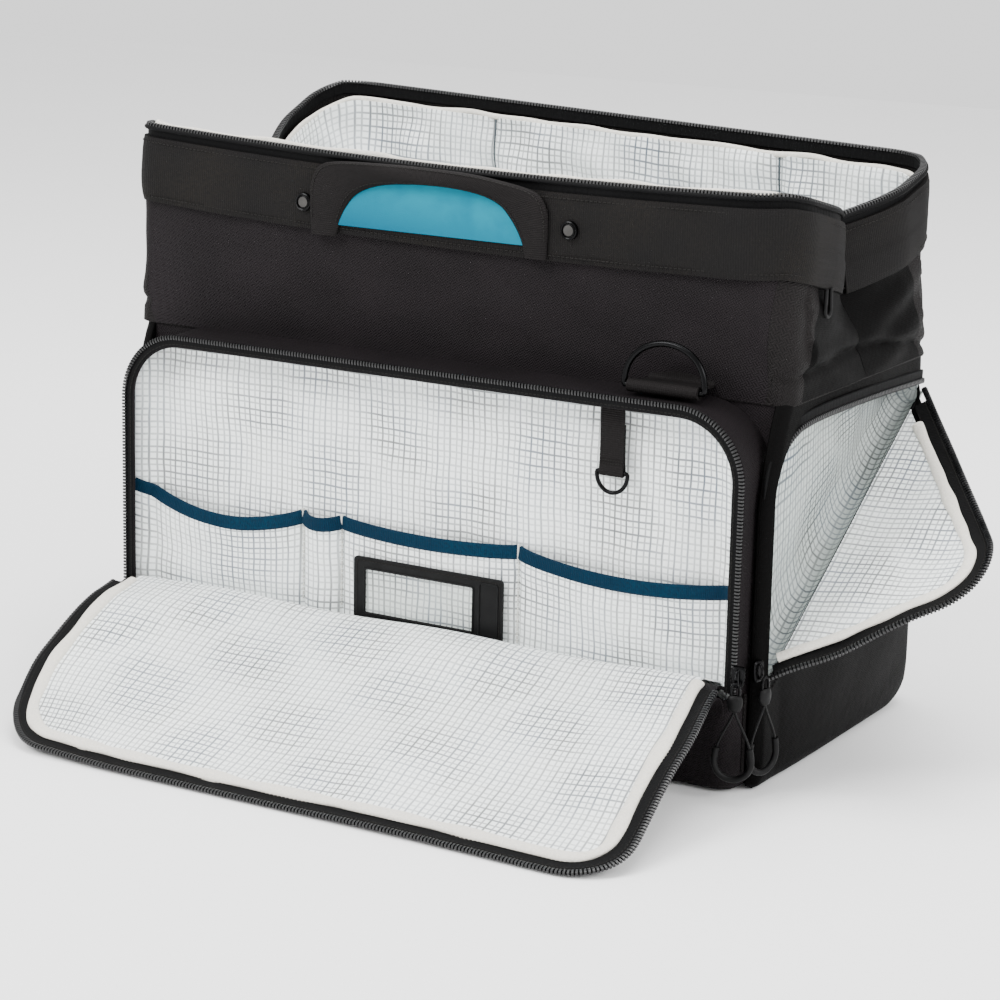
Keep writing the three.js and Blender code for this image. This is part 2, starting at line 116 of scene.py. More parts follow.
# ------------------------------------------------------------------ mesh helpers
def make(name, verts, faces, uvs=None, material=None):
    """A mesh object from millimetre vertices; uvs is one (u, v) in millimetres per vertex."""
    mesh = bpy.data.meshes.new(name)
    mesh.from_pydata((np.asarray(verts, float) * MM).tolist(), [], [list(map(int, f)) for f in faces])
    if uvs is not None:
        layer = mesh.uv_layers.new(name="UVMap")
        index = np.empty(len(mesh.loops), int)
        mesh.loops.foreach_get("vertex_index", index)
        layer.data.foreach_set("uv", (np.asarray(uvs, float) * MM)[index].astype(np.float32).ravel())
    mesh.update()
    obj = bpy.data.objects.new(name, mesh)
    bpy.context.scene.collection.objects.link(obj)
    if material:
        mesh.materials.append(material)
    return soften(obj)


def soften(obj, angle=40):
    """Smooth shading, with edges sharper than an angle kept."""
    obj.data.shade_smooth()
    obj.data.set_sharp_from_angle(angle=math.radians(angle))
    return obj


def apply_modifiers(obj):
    graph = bpy.context.evaluated_depsgraph_get()
    mesh = bpy.data.meshes.new_from_object(obj.evaluated_get(graph))
    obj.modifiers.clear()
    old = obj.data
    obj.data = mesh
    mesh.name = obj.name
    bpy.data.meshes.remove(old)


def thicken(obj, thickness, offset):
    """Gives a sheet a thickness in millimetres, away from its normals where offset is -1."""
    mod = obj.modifiers.new("thickness", "SOLIDIFY")
    mod.thickness = thickness * MM
    mod.offset = offset
    mod.use_even_offset = True
    mod.use_quality_normals = True
    apply_modifiers(obj)
    soften(obj, 50)


def outward(obj):
    """Turns a closed mesh's faces outward."""
    bm = bmesh.new()
    bm.from_mesh(obj.data)
    bmesh.ops.recalc_face_normals(bm, faces=bm.faces)
    bm.to_mesh(obj.data)
    bm.free()
    return soften(obj)


def quads(nu, nv, wrap_u=False, wrap_v=False):
    """Faces of a grid of nu by nv points, which may close on itself either way."""
    i, j = np.meshgrid(np.arange(nu - (not wrap_u)), np.arange(nv - (not wrap_v)), indexing="ij")
    i2, j2 = (i + 1) % nu, (j + 1) % nv
    return np.stack([i * nv + j, i2 * nv + j, i2 * nv + j2, i * nv + j2], -1).reshape(-1, 4)


def travelled(points):
    """Distance along a line up to each of its points."""
    return np.concatenate([[0], np.cumsum(np.linalg.norm(np.diff(points, axis=0), axis=1))])


def surface(name, points, material, uvs=None, thickness=0.0, wrap=False, flip=False, offset=-1.0):
    """A sheet from a grid of points (nu, nv, 3). Its front side is du x dv."""
    nu, nv = points.shape[:2]
    if uvs is None:
        du = np.linalg.norm(np.diff(points, axis=0), axis=2).mean(axis=1)
        dv = np.linalg.norm(np.diff(points, axis=1), axis=2).mean(axis=0)
        u, v = (np.concatenate([[0], np.cumsum(step)]) for step in (du, dv))
        uvs = np.stack(np.meshgrid(u, v, indexing="ij"), -1)
    faces = quads(nu, nv, wrap)
    if flip:
        faces = faces[:, ::-1]
    obj = make(name, points.reshape(-1, 3), faces, uvs.reshape(-1, 2), material)
    if thickness:
        thicken(obj, thickness, offset)
    return obj


def lid(name, ring, material, uvs=None, down=False):
    """One flat face over a ring of points."""
    face = list(range(len(ring)))
    return make(name, ring, [face[::-1] if down else face], uvs, material)


def tube(name, pts, run, around, material, closed=False):
    """A skin over rings of points (nu, nv, 3), capped at both ends unless closed."""
    nu, nv = pts.shape[:2]
    faces = quads(nu, nv, closed, True)[:, [0, 3, 2, 1]].tolist()
    if not closed:
        faces.append(list(range(nv)))
        faces.append(list(range((nu - 1) * nv, nu * nv))[::-1])
    uvs = np.stack(np.meshgrid(run, around, indexing="ij"), -1)
    return outward(make(name, pts.reshape(-1, 3), faces, uvs.reshape(-1, 2), material))


def unit(v):
    v = np.asarray(v, float)
    return v / np.maximum(np.linalg.norm(v, axis=-1, keepdims=True), 1e-9)


def tangents(path, closed=False):
    if closed:
        return unit(np.roll(path, -1, 0) - np.roll(path, 1, 0))
    return unit(np.gradient(path, axis=0))


def frames(path, normals, closed=False):
    """Tangents, normals square to them, and sides (tangent x normal) along a path."""
    t = tangents(path, closed)
    n = unit(normals - t * (normals * t).sum(1, keepdims=True))
    return t, n, np.cross(t, n)


def sweep(name, path, normals, section, material, closed=False):
    """Sweeps a closed section of (along normal, along side) offsets. There may be one normal
    for all of the path or one per point, and the same goes for the section."""
    path = np.asarray(path, float)
    _, n, s = frames(path, np.broadcast_to(np.asarray(normals, float), path.shape), closed)
    section = np.broadcast_to(section, (len(path), *np.shape(section)[-2:]))
    pts = path[:, None] + n[:, None] * section[..., :1] + s[:, None] * section[..., 1:]
    return tube(name, pts, travelled(path), travelled(section[0]), material, closed)


def circle(r, n=10, ry=None):
    a = np.linspace(0, 2 * math.pi, n, endpoint=False)
    return np.stack([r * np.cos(a), (ry or r) * np.sin(a)], -1)


def flat_section(thick, wide, r=0.6):
    """A flat strip's section: thick along the normal, wide along the side, edges eased."""
    a, b = thick / 2, wide / 2
    half = [(-a, -b + r), (-a + r, -b), (a - r, -b), (a, -b + r)]
    return np.array(half + [(-x, -y) for x, y in half])


def resample(path, step, closed=False):
    path = np.asarray(path, float)
    if closed:
        path = np.vstack([path, path[:1]])
    length = travelled(path)
    count = max(2, int(round(length[-1] / step)) + 1)
    at = np.linspace(0, length[-1], count)
    out = np.stack([np.interp(at, length, column) for column in path.T], -1)
    return out[:-1] if closed else out


def rounded_path(corners, step=3.0, closed=False):
    """A dense path through corners of (x, y, radius) with round arcs."""
    pts = [np.array(c[:2], float) for c in corners]
    out = []
    last = len(pts) - 1
    for i, (_, _, r) in enumerate(corners):
        if not r or not (closed or 0 < i < last):
            out.append(pts[i])
            continue
        a, b = unit(pts[i - 1] - pts[i]), unit(pts[(i + 1) % len(pts)] - pts[i])
        half = math.acos(float(np.clip(a @ b, -1, 1))) / 2
        cut = r / math.tan(half)
        centre = pts[i] + unit(a + b) * r / math.sin(half)
        p0, p1 = pts[i] + a * cut - centre, pts[i] + b * cut - centre
        a0, a1 = math.atan2(p0[1], p0[0]), math.atan2(p1[1], p1[0])
        turn = (a1 - a0 + math.pi) % (2 * math.pi) - math.pi
        for k in np.linspace(0, 1, max(4, int(abs(turn) * r / step) + 1)):
            out.append(centre + r * np.array([math.cos(a0 + turn * k), math.sin(a0 + turn * k)]))
    return resample(out, step, closed)


def rounded_rect(low, high, r, step):
    (x0, y0), (x1, y1) = low, high
    return rounded_path([(x0, y0, r), (x1, y0, r), (x1, y1, r), (x0, y1, r)], step, True)


def smooth_path(points, step=3.0):
    """A Catmull-Rom curve through the points, resampled."""
    p = np.asarray(points, float)
    p = np.vstack([2 * p[0] - p[1], p, 2 * p[-1] - p[-2]])
    t = np.linspace(0, 1, 16, endpoint=False)[:, None]
    out = []
    for a, b, c, d in zip(p, p[1:], p[2:], p[3:]):
        curve = 2 * b + (c - a) * t + (2 * a - 5 * b + 4 * c - d) * t**2
        out.append(0.5 * (curve + (3 * b - a - 3 * c + d) * t**3))
    return resample(np.vstack([*out, p[-2][None]]), step)


def in_profile(line):
    """(y, z) points as a line in space at x = 0."""
    return [(0, y, z) for y, z in line]


def at_height(plan, z):
    return np.column_stack([plan, np.full(len(plan), z)])


def at_depth(upright, y):
    return np.column_stack([upright[:, 0], np.full(len(upright), y), upright[:, 1]])


def ease(x):
    x = np.clip(x, 0, 1)
    return x * x * (3 - 2 * x)


def bell(x, wide):
    return np.exp(-((x / wide) ** 2))


def ripple(u, v, wavelength, amount, seed):
    """A smooth, repeatable unevenness over a sheet, from a few crossed waves."""
    rng = np.random.default_rng(seed)
    total = np.zeros(np.broadcast(u, v).shape)
    for _ in range(7):
        a = rng.uniform(0, math.pi)
        f = 2 * math.pi / (wavelength * rng.uniform(0.6, 1.7))
        total += np.sin((u * math.cos(a) + v * math.sin(a)) * f + rng.uniform(0, 6.28))
    return total * amount / 2.6


def teeth(name, path, normals, material, row=COIL_ROW):
    """A zip's coil or a row of stitches: one small hump at each pitch, standing along the
    normal, with its width along the side direction."""
    pitch, wide, tall, along = row
    path = np.asarray(path, float)
    path = resample(np.hstack([path, np.broadcast_to(normals, path.shape)]), pitch)
    path, normals = path[:, :3], path[:, 3:]
    t, n, s = (v[:, None, None] for v in frames(path, normals))
    hump = [[-0.2, -0.5], [0.75, -0.42], [1.0, 0.0], [0.75, 0.42], [-0.2, 0.5]] * np.array([tall, wide])
    ends = np.array([-along / 2, along / 2])[None, :, None, None]
    pts = path[:, None, None] + n * hump[:, :1] + s * hump[:, 1:] + t * ends
    k = np.arange(5)
    sides = np.stack([k, k + 5, (k + 1) % 5 + 5, (k + 1) % 5], -1)[None]
    first = np.arange(0, len(path) * 10, 10)
    faces = (first[:, None, None] + sides).reshape(-1, 4).tolist()
    for b in first:
        faces += [[b + 4, b + 3, b + 2, b + 1, b], [b + 5, b + 6, b + 7, b + 8, b + 9]]
    flat = pts.reshape(-1, 3)
    return outward(make(name, flat, faces, np.zeros((len(flat), 2)), material))


def join(name, *objs):
    """Joins pieces into the first one, with their materials."""
    objs = list(objs)
    with bpy.context.temp_override(
        active_object=objs[0], object=objs[0], selected_objects=objs, selected_editable_objects=objs
    ):
        bpy.ops.object.join()
    objs[0].name = name
    objs[0].data.name = name
    return objs[0]


def cut(obj, cutter):
    mod = obj.modifiers.new("cut", "BOOLEAN")
    mod.operation = "DIFFERENCE"
    mod.solver = "EXACT"
    mod.object = cutter
    apply_modifiers(obj)
    bpy.data.objects.remove(cutter)
    soften(obj)


# ------------------------------------------------------------------ materials
class Look:
    """A node-based material. Pattern sizes are millimetres of the UV map or of the object."""

    def __init__(self, name, colour, roughness, metallic=0.0, coords="UV", **sockets):
        self.mat = bpy.data.materials.new(name)
        self.mat.use_nodes = True
        self.tree = self.mat.node_tree
        self.inputs = self.tree.nodes["Principled BSDF"].inputs
        sockets.update(Base_Color=(*colour, 1), Roughness=roughness, Metallic=metallic)
        for key, value in sockets.items():
            self.inputs[key.replace("_", " ")].default_value = value
        source = self.node("ShaderNodeTexCoord")
        scaled = self.node("ShaderNodeVectorMath", operation="SCALE")
        self.link(source.outputs[coords], scaled.inputs[0])
        scaled.inputs["Scale"].default_value = 1 / MM
        self.place = scaled.outputs[0]
        self.bumped = None

    def node(self, kind, **props):
        made = self.tree.nodes.new(kind)
        for key, value in props.items():
            setattr(made, key, value)
        return made

    def link(self, a, b):
        self.tree.links.new(a, b)

    def fill(self, slot, value):
        """Sets a socket to a number or a colour, or links another node to it."""
        if isinstance(value, tuple):
            slot.default_value = (*value, 1)
        elif isinstance(value, (int, float)):
            slot.default_value = value
        else:
            self.link(value, slot)

    def math(self, operation, *values):
        made = self.node("ShaderNodeMath", operation=operation)
        for slot, value in zip(made.inputs, values):
            self.fill(slot, value)
        return made.outputs[0]

    def wave(self, value, scale):
        """Sine of a length times a scale."""
        return self.math("SINE", self.math("MULTIPLY", value, scale))

    def parts(self, vector=None):
        made = self.node("ShaderNodeSeparateXYZ")
        self.link(vector or self.place, made.inputs[0])
        return made.outputs

    def noise(self, size, detail=2.0, rough=0.5):
        """A noise whose features are about size millimetres across."""
        scaled = self.node("ShaderNodeMapping")
        self.link(self.place, scaled.inputs["Vector"])
        scaled.inputs["Scale"].default_value = [1 / size] * 3
        made = self.node("ShaderNodeTexNoise")
        made.inputs["Scale"].default_value = 1.0
        made.inputs["Detail"].default_value = detail
        made.inputs["Roughness"].default_value = rough
        self.link(scaled.outputs[0], made.inputs["Vector"])
        return made.outputs["Fac"]

    def spread(self, value, low, high, to_low=0.0, to_high=1.0):
        made = self.node("ShaderNodeMapRange")
        self.link(value, made.inputs["Value"])
        for key, number in zip(("From Min", "From Max", "To Min", "To Max"), (low, high, to_low, to_high)):
            made.inputs[key].default_value = number
        return made.outputs["Result"]

    def mix(self, factor, a, b, blend="MIX"):
        """Colour a where factor is 0 and b where it is 1."""
        made = self.node("ShaderNodeMix", data_type="RGBA", blend_type=blend)
        for key, value in (("Factor", factor), (6, a), (7, b)):
            self.fill(made.inputs[key], value)
        return made.outputs[2]

    def blotches(self, size, detail, low, high, a, b):
        """Colours a and b in soft patches; a smaller range from low to high is crisper."""
        return self.mix(self.spread(self.noise(size, detail), low, high), a, b)

    def paint(self, colour):
        self.link(colour, self.inputs["Base Color"])

    def bump(self, height, depth, strength=1.0):
        """Adds relief of depth millimetres on top of any earlier relief."""
        made = self.node("ShaderNodeBump")
        made.inputs["Strength"].default_value = strength
        made.inputs["Distance"].default_value = depth * MM
        self.link(height, made.inputs["Height"])
        if self.bumped:
            self.link(self.bumped, made.inputs["Normal"])
        self.bumped = made.outputs[0]
        self.link(self.bumped, self.inputs["Normal"])


def srgb(r, g, b):
    return tuple((c / 255) ** 2.2 for c in (r, g, b))


def darker(colour, k):
    return tuple(c * k for c in colour)


def weave_height(look, pitch, turn=0.0):
    """Basket weave: threads that pass over and under each other every pitch millimetres."""
    mapped = look.node("ShaderNodeMapping")
    look.link(look.place, mapped.inputs["Vector"])
    mapped.inputs["Rotation"].default_value = (0, 0, turn)
    mapped.inputs["Scale"].default_value = (math.pi / pitch,) * 3
    x, y, _ = look.parts(mapped.outputs[0])
    made = look.node("ShaderNodeMix", data_type="FLOAT")
    crossing = look.math("MULTIPLY", look.wave(x, 0.5), look.wave(y, 0.5))
    look.link(look.spread(crossing, -0.25, 0.25), made.inputs[0])
    for slot, across in ((2, x), (3, y)):
        look.link(look.math("ABSOLUTE", look.math("SINE", across)), made.inputs[slot])
    return made.outputs[0]


def woven(name, colour, roughness, pitch, depth, turn=0.0, shade=0.55, coords="UV", gloss=0.1):
    """Woven cloth with worn patches; shade is the darkness between its threads."""
    look = Look(name, colour, roughness, coords=coords, Specular_IOR_Level=gloss)
    height = weave_height(look, pitch, turn)
    threads = look.mix(look.spread(height, 0.15, 1.0), darker(colour, shade), colour)
    worn = look.spread(look.noise(60, 4), 0.3, 0.7)
    patches = look.mix(worn, darker(colour, 0.75), darker(colour, 1.25))
    dulled = look.mix(0.5, threads, look.mix(worn, (0.75,) * 3, (1.0,) * 3), "MULTIPLY")
    look.paint(look.mix(look.math("MULTIPLY", worn, 0.5), dulled, patches))
    look.bump(height, depth)
    look.bump(look.noise(9, 3), 0.5)
    return look.mat


def ribbed(name, colour, roughness, pitch, depth, warm=None):
    """Webbing: fine ribs across the strap, with a slow change of colour along it."""
    look = Look(name, colour, roughness, Specular_IOR_Level=0.11)
    along, across, _ = look.parts()
    rib = look.math("ABSOLUTE", look.wave(along, math.pi / pitch))
    thread = look.math("ABSOLUTE", look.wave(across, math.pi / (pitch * 0.8)))
    height = look.math("MULTIPLY_ADD", thread, 0.35, rib)
    base = look.mix(look.spread(height, 0.1, 1.2), darker(colour, 0.6), darker(colour, 1.1))
    tint = look.blotches(70, 3, 0.4, 0.65, base, warm or darker(colour, 1.35))
    look.paint(look.blotches(2.2, 2, 0.35, 0.7, tint, darker(colour, 0.8)))
    look.bump(height, depth)
    look.bump(look.noise(14, 3), 0.6)
    return look.mat


# The lining's lines: pitch, offset, width and strength.
GRID_LINES = ((9.4, 0.0, 1.0, 1.0), (9.4, 4.3, 0.85, 0.75), (23.5, 6.9, 0.75, 0.65))


def grid_ink(look):
    """How much ink each place of the lining's grid has. The lines along the cloth show
    everywhere, and those across it show in drifting blocks."""
    x, y, _ = look.parts()
    wobble = look.math("MULTIPLY", look.math("SUBTRACT", look.noise(45, 2), 0.5), 4.0)
    drift = look.math("MULTIPLY", look.math("SUBTRACT", look.noise(120, 1), 0.5), 70.0)
    blocks = []
    for across, size in ((x, 118.0), (y, 92.0)):
        step = look.wave(look.math("ADD", across, drift), 2 * math.pi / size)
        blocks.append(look.spread(step, -0.7, 0.7))
    patch = look.math("ABSOLUTE", look.math("SUBTRACT", *blocks))
    total = None
    for across, shows, shift in ((x, (0.8, 1.0), 0.0), (y, (0.5, 0.95), 1.7)):
        shown = look.spread(patch, 0.0, 1.0, *shows)
        shifted = look.math("ADD", across, look.math("ADD", wobble, 5000.0 + shift))
        for pitch, offset, width, strength in GRID_LINES:
            place = look.math("MODULO", look.math("ADD", shifted, offset), pitch)
            away = look.math("ABSOLUTE", look.math("SUBTRACT", place, pitch / 2))
            line = look.math("MULTIPLY", look.spread(away, width * 0.4, width, strength, 0.0), shown)
            total = line if total is None else look.math("MAXIMUM", total, line)
    return look.math("MULTIPLY", total, look.spread(look.noise(40, 2), 0.3, 0.7, 0.8, 1.0))


def grid_lining(name, cloth, **sockets):
    """Pale smooth lining with an uneven printed grid of thin grey-blue lines."""
    look = Look(name, cloth, 0.55, Specular_IOR_Level=0.35, **sockets)
    ink = look.blotches(60, 2, 0.42, 0.6, srgb(30, 36, 37), srgb(34, 54, 74))
    grey = look.blotches(90, 3, 0.35, 0.7, cloth, darker(cloth, 0.93))
    look.paint(look.mix(look.math("MULTIPLY", grid_ink(look), 0.92), grey, ink))
    look.bump(look.noise(34, 3, 0.55), 2.2, 0.6)
    look.bump(weave_height(look, 0.9), 0.05)
    return look.mat


def fleece(name, colour):
    look = Look(name, colour, 0.95, coords="Object", Sheen_Weight=0.4, Sheen_Roughness=0.6)
    fluff = look.noise(1.6, 5, 0.75)
    look.paint(look.mix(look.spread(fluff, 0.3, 0.7), darker(colour, 0.78), darker(colour, 1.06)))
    look.bump(fluff, 0.9)
    look.bump(look.noise(11, 3), 2.2, 0.7)
    return look.mat


def moulded(name, colour, roughness, metallic=0.0, grain=0.12, **sockets):
    """Metal, rubber or thread with a fine grain and slightly uneven gloss."""
    look = Look(name, colour, roughness, metallic, coords="Object", **sockets)
    wear = look.noise(12, 4, 0.65)
    look.paint(look.mix(look.spread(wear, 0.45, 0.75), colour, darker(colour, 1.5)))
    gloss = look.spread(wear, 0.3, 0.7, roughness * 0.8, min(1, roughness * 1.25))
    look.link(gloss, look.inputs["Roughness"])
    look.bump(look.noise(0.8, 3, 0.6), grain)
    return look.mat


def teal_patch():
    """Soft teal with painted shading: deeper in its lower part and lighter towards its top."""
    look = Look("teal_patch", srgb(0, 102, 122), 0.7, coords="Object", Specular_IOR_Level=0.08)
    x, _, z = look.parts()
    # Painted shade and light: darker low on the patch, lighter towards its top.
    low = look.spread(look.math("ADD", z, look.math("MULTIPLY", x, 0.12)), 340, 372)
    painted_shade_tone = look.mix(low, srgb(0, 84, 108), srgb(0, 114, 134))
    look.paint(look.blotches(18, 3, 0.4, 0.8, painted_shade_tone, srgb(0, 98, 120)))
    look.bump(look.noise(1.1, 3), 0.15)
    return look.mat


BALLISTIC = woven("ballistic_weave", srgb(29, 25, 27), 0.7, 1.6, 0.42, turn=0.6, shade=0.2, gloss=0.13)
COARSE = woven("coarse_weave", srgb(25, 22, 22), 0.68, 1.9, 0.5, turn=0.5, shade=0.15, gloss=0.14)
NYLON = woven("side_nylon", srgb(8, 7, 7), 0.62, 1.3, 0.14, shade=0.75, gloss=0.05)
BAND = ribbed("band_webbing", srgb(26, 25, 25), 0.78, 1.7, 0.3, warm=srgb(30, 28, 26))
STRAP = ribbed("strap_webbing", srgb(27, 25, 25), 0.74, 1.5, 0.3)
LINING = grid_lining("grid_lining", srgb(248, 252, 251))
# Painted shade: a darker copy of the lining, for the inside of the side pockets.
SHADED = grid_lining("shaded_pocket_lining", srgb(196, 203, 200))
HEM = fleece("fleece_hem", srgb(234, 229, 217))
TAPE = woven("zip_tape", srgb(14, 14, 15), 0.7, 1.2, 0.15, coords="Object")
COIL = moulded("zip_coil", srgb(10, 10, 12), 0.36, grain=0.03)
METAL = moulded("black_metal", srgb(17, 17, 18), 0.24, 0.85, grain=0.02)
STEEL = moulded("grey_metal", srgb(70, 69, 68), 0.42, 1.0, grain=0.03)
RUBBER = moulded("rubber", srgb(9, 9, 10), 0.5, Specular_IOR_Level=0.16)
THREAD = moulded("thread", srgb(32, 31, 30), 0.85, grain=0.1, Specular_IOR_Level=0.15)
CREAM_THREAD = moulded("pale_thread", srgb(190, 190, 184), 0.8, grain=0.1)
TEAL_TAPE = ribbed("teal_binding", srgb(3, 38, 56), 0.78, 1.5, 0.25, warm=srgb(4, 46, 64))
# Partly painted shade: the lining's seam thread, made grey as the shade of the folds it lies in.
THREAD_AND_FOLD_SHADE = moulded("grey_thread_fold_shade", srgb(74, 80, 84), 0.85, grain=0.1, Specular_IOR_Level=0.1)
# Painted shadow: near-black tubes that stand in for the shade in the grooves of seams.
SEAM_SHADOW = moulded("seam_shadow", srgb(3, 3, 3), 0.95, grain=0.05, Specular_IOR_Level=0.02)
PANE = grid_lining("vinyl_over_lining", srgb(206, 212, 208), Coat_Weight=0.5, Coat_Roughness=0.12)
TEAL = teal_patch()


# ------------------------------------------------------------------ camera, floor and light
def add_object(name, data):
    obj = bpy.data.objects.new(name, data)
    bpy.context.scene.collection.objects.link(obj)
    return obj


def camera():
    """Three-quarter view from the front right, slightly above and slightly rolled."""
    azimuth, elevation, roll = (math.radians(a) for a in (30.0, 13.78, 1.28))
    aim, distance = Vector((-0.0097, -0.0282, 0.1402)), 2.202
    level = math.cos(elevation)
    back = Vector((math.sin(azimuth) * level, -math.cos(azimuth) * level, math.sin(elevation)))
    right = Vector((math.cos(azimuth), math.sin(azimuth), 0))
    up = back.cross(right)
    x = right * math.cos(roll) + up * math.sin(roll)
    y = up * math.cos(roll) - right * math.sin(roll)
    data = bpy.data.cameras.new("camera")
    data.lens = 107.4
    data.sensor_width = 36
    cam = add_object("camera", data)
    cam.matrix_world = Matrix.Translation(aim + back * distance) @ Matrix((x, y, back)).transposed().to_4x4()
    bpy.context.scene.camera = cam


def area_light(name, place, target, size, power):
    data = bpy.data.lights.new(name, "AREA")
    data.shape = "DISK"
    data.size = size
    data.energy = power
    lamp = add_object(name, data)
    lamp.location = place
    lamp.rotation_mode = "QUATERNION"
    lamp.rotation_quaternion = (Vector(target) - Vector(place)).to_track_quat("-Z", "Y")


def studio():
    camera()
    world = bpy.data.worlds.new("studio")
    bpy.context.scene.world = world
    world.use_nodes = True
    sky = world.node_tree.nodes["Background"]
    sky.inputs["Color"].default_value = (1, 1, 1, 1)
    sky.inputs["Strength"].default_value = 1.42
    area_light("key", (-1.1, -2.0, 2.3), (0, 0, 0.15), 1.6, 106)
    area_light("side", (2.3, -0.6, 1.5), (0.1, 0, 0.2), 1.4, 52)
    area_light("top", (0.1, 0.5, 2.6), (0, 0, 0.3), 1.8, 72)
    look = Look("pale_floor", (0.93, 0.93, 0.93), 0.9, coords="Object")
    look.paint(look.mix(look.noise(400, 2), (0.92, 0.92, 0.92), (0.95, 0.95, 0.95)))
    square = np.array([(-1, -1), (1, -1), (1, 1), (-1, 1)]) * 4000.0
    lid("floor", at_height(square, -0.5), look.mat)


studio()


# ------------------------------------------------------------------ what each piece belongs to
def finished(obj, nodes):
    """Hides the CAD nodes that a piece stands for."""
    if nodes:
        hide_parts(*nodes)
    return obj


def settle(obj, body, slot, *nodes):
    """Rides a piece on its body."""
    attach(obj, body)
    return finished(obj, nodes)


def bend(obj, tag, slot, *nodes):
    """Keeps a piece of the slack upper part where it is, baked into world space, and hides the CAD nodes it
    stands for. The mouth half, tag, is not used.
    """
    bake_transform(obj)
    return finished(obj, nodes)


def fold_over(obj, start, end, slot, *nodes):
    """Keeps a piece of the front flap where it is, baked into world space, and hides the CAD nodes it stands
    for. The two (y, z) places, start and end, are not used.
    """
    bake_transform(obj)
    return finished(obj, nodes)


# ------------------------------------------------------------------ plan of the mouth and body
TAGS = ("front", "back")
LEG_N, CORNER_N, FRONT_N = 26, 14, 90
FRONT_START = LEG_N + CORNER_N - 2  # the column where a plan's straight front begins
RIM_CORNERS = {"front": (38.0, 16.0), "back": (45.0, 45.0)}  # right and left; one is pulled tight
FOOT_CORNERS = {"front": (12.0, 9.0), "back": (25.0, 25.0)}
RIM_STEP = 4.0
MIRROR_Y = np.array([1, -1, 1])
HEM_DROP = {"front": 1.2, "back": 12.0}
HEM_SIZE = {"front": (2.0, 3.8), "back": (1.4, 2.2)}


def half_plan(half_x, half_y, radii, start=0.0, bent=0.0):
    """Front half of a rounded plan from the right side's middle round to the left side's, with
    the radii of its right and left corners. Bent legs turn in towards the notch."""
    a = np.linspace(0, math.pi / 2, CORNER_N)
    sides = []
    for r in radii:
        y = -np.linspace(start, half_y - r, LEG_N)
        turn = (NOTCH_X - RIM_X) * (1 - np.minimum(1, np.abs(y) / LEG_BEND)) ** 1.6
        leg = np.stack([half_x + turn * bent, y], -1)
        corner = np.stack([half_x - r + r * np.cos(a), r - half_y - r * np.sin(a)], -1)
        sides.append(np.vstack([leg[:-1], corner[:-1]]))
    x = np.linspace(half_x - radii[0], radii[1] - half_x, FRONT_N)
    front = np.stack([x, np.full(FRONT_N, -half_y)], -1)
    return np.vstack([sides[0], front, (sides[1] * [-1, 1])[::-1]])


def whole_plan(half_x, half_y, r):
    half = half_plan(half_x, half_y, (r, r))[:-1]
    return np.vstack([half, -half])


def corners(tag, inset):
    right, left = RIM_CORNERS[tag]
    return right - inset, max(left - inset, 4.0)


def rim_top(tag, plan):
    """Height of the main zip. It sags towards the middle and falls along each leg to the notch."""
    x, y = plan[:, 0], plan[:, 1]
    top = 397 - 0.016 * x + 9.3e-5 * x**2 if tag == "front" else 410 - 0.038 * x
    return NOTCH_Z + (top - NOTCH_Z) * np.minimum(1, np.abs(y) / 117.5)


def rim_path(tag, offset, drop):
    """A line round half of the rim at an offset inside its outer face and a drop below the
    zip's top, with outward normals. It runs so that tangent x normal is up."""
    plan = half_plan(RIM_X - offset, RIM_Y - offset, corners(tag, offset), 1.2, 1.0)
    plan = resample(plan, RIM_STEP)
    side = unit(tangents(plan) @ np.array([[0, -1], [1, 0]]))
    side = side * np.sign((side * plan).sum(1, keepdims=True) + 1e-9)
    path, normals = at_height(plan, rim_top(tag, plan) - drop), at_height(side, 0.0)
    if tag == "front":
        return path, normals
    return (path * MIRROR_Y)[::-1], (normals * MIRROR_Y)[::-1]


def slack(tag, path):
    """How far the lining's edge falls away from the front rim where it hangs loose."""
    loose = bell(path[..., 0] + 88, 52) * (np.abs(path[..., 1]) > 80)
    return 24.0 * loose * (tag == "front")


def band(tag):
    """The webbing band of one half of the mouth: a rounded outer face, flat behind the handle."""
    path, normals = rim_path(tag, 1.5, TAPE_H + BAND_H / 2)
    s = np.linspace(-1, 1, 17)
    outer = np.stack([1.6 + 1.5 * (1 - s**4), s * BAND_H / 2], -1)
    inner = np.stack([np.full(17, -1.4), s * BAND_H / 2], -1)[::-1]
    section = np.vstack([outer, inner])
    sections = np.repeat(section[None], len(path), 0)
    run = np.arange(len(path))[:, None] * RIM_STEP
    swell = ripple(run, section[None, :, 1], 75, 0.55, 3 if tag == "front" else 4)
    lower = (section[:, 1] < 0) * (0.5 + 0.5 * np.sin(run / 55.0))
    flat = 1 - 0.9 * (np.abs(path[:, :1] + 12) < 108) * (np.abs(path[:, 1:2]) > 120)
    sections[..., 0] += (swell + 1.1 * lower) * flat
    cover = sweep(tag + "_band_cover", path, normals, sections, BAND)
    settle(cover, tag + "_mouth", "webbing", tag + "_band")
    rows = []
    for drop, stand in ((TAPE_H + BAND_H - 4, 2.7), (TAPE_H + 3.5, 2.3)):
        line, out = rim_path(tag, 1.5, drop)
        rows.append(teeth("row", line + out * stand, out, THREAD, BAND_STITCH_ROW))
    settle(join(tag + "_band_stitches", *rows), tag + "_mouth", "webbing")


def rim_zip(tag):
    mouth = tag + "_mouth"
    path, normals = rim_path(tag, 3.6, 4.2)
    tape = sweep(tag + "_zip_tape", path, normals, flat_section(2.0, 9.6), TAPE)
    settle(tape, mouth, "zip_tape", tag + "_rim_zip", tag + "_frame")
    path, _ = rim_path(tag, 3.8, -0.2)
    settle(teeth(tag + "_zip_coil", path, UP, COIL, RIM_COIL_ROW), mouth, "zip_tape")
    lip, out = rim_path(tag, 3.0, 1.6)
    settle(sweep(tag + "_zip_edge", lip + out * 1.6, out, circle(1.5), TAPE), mouth, "zip_tape")


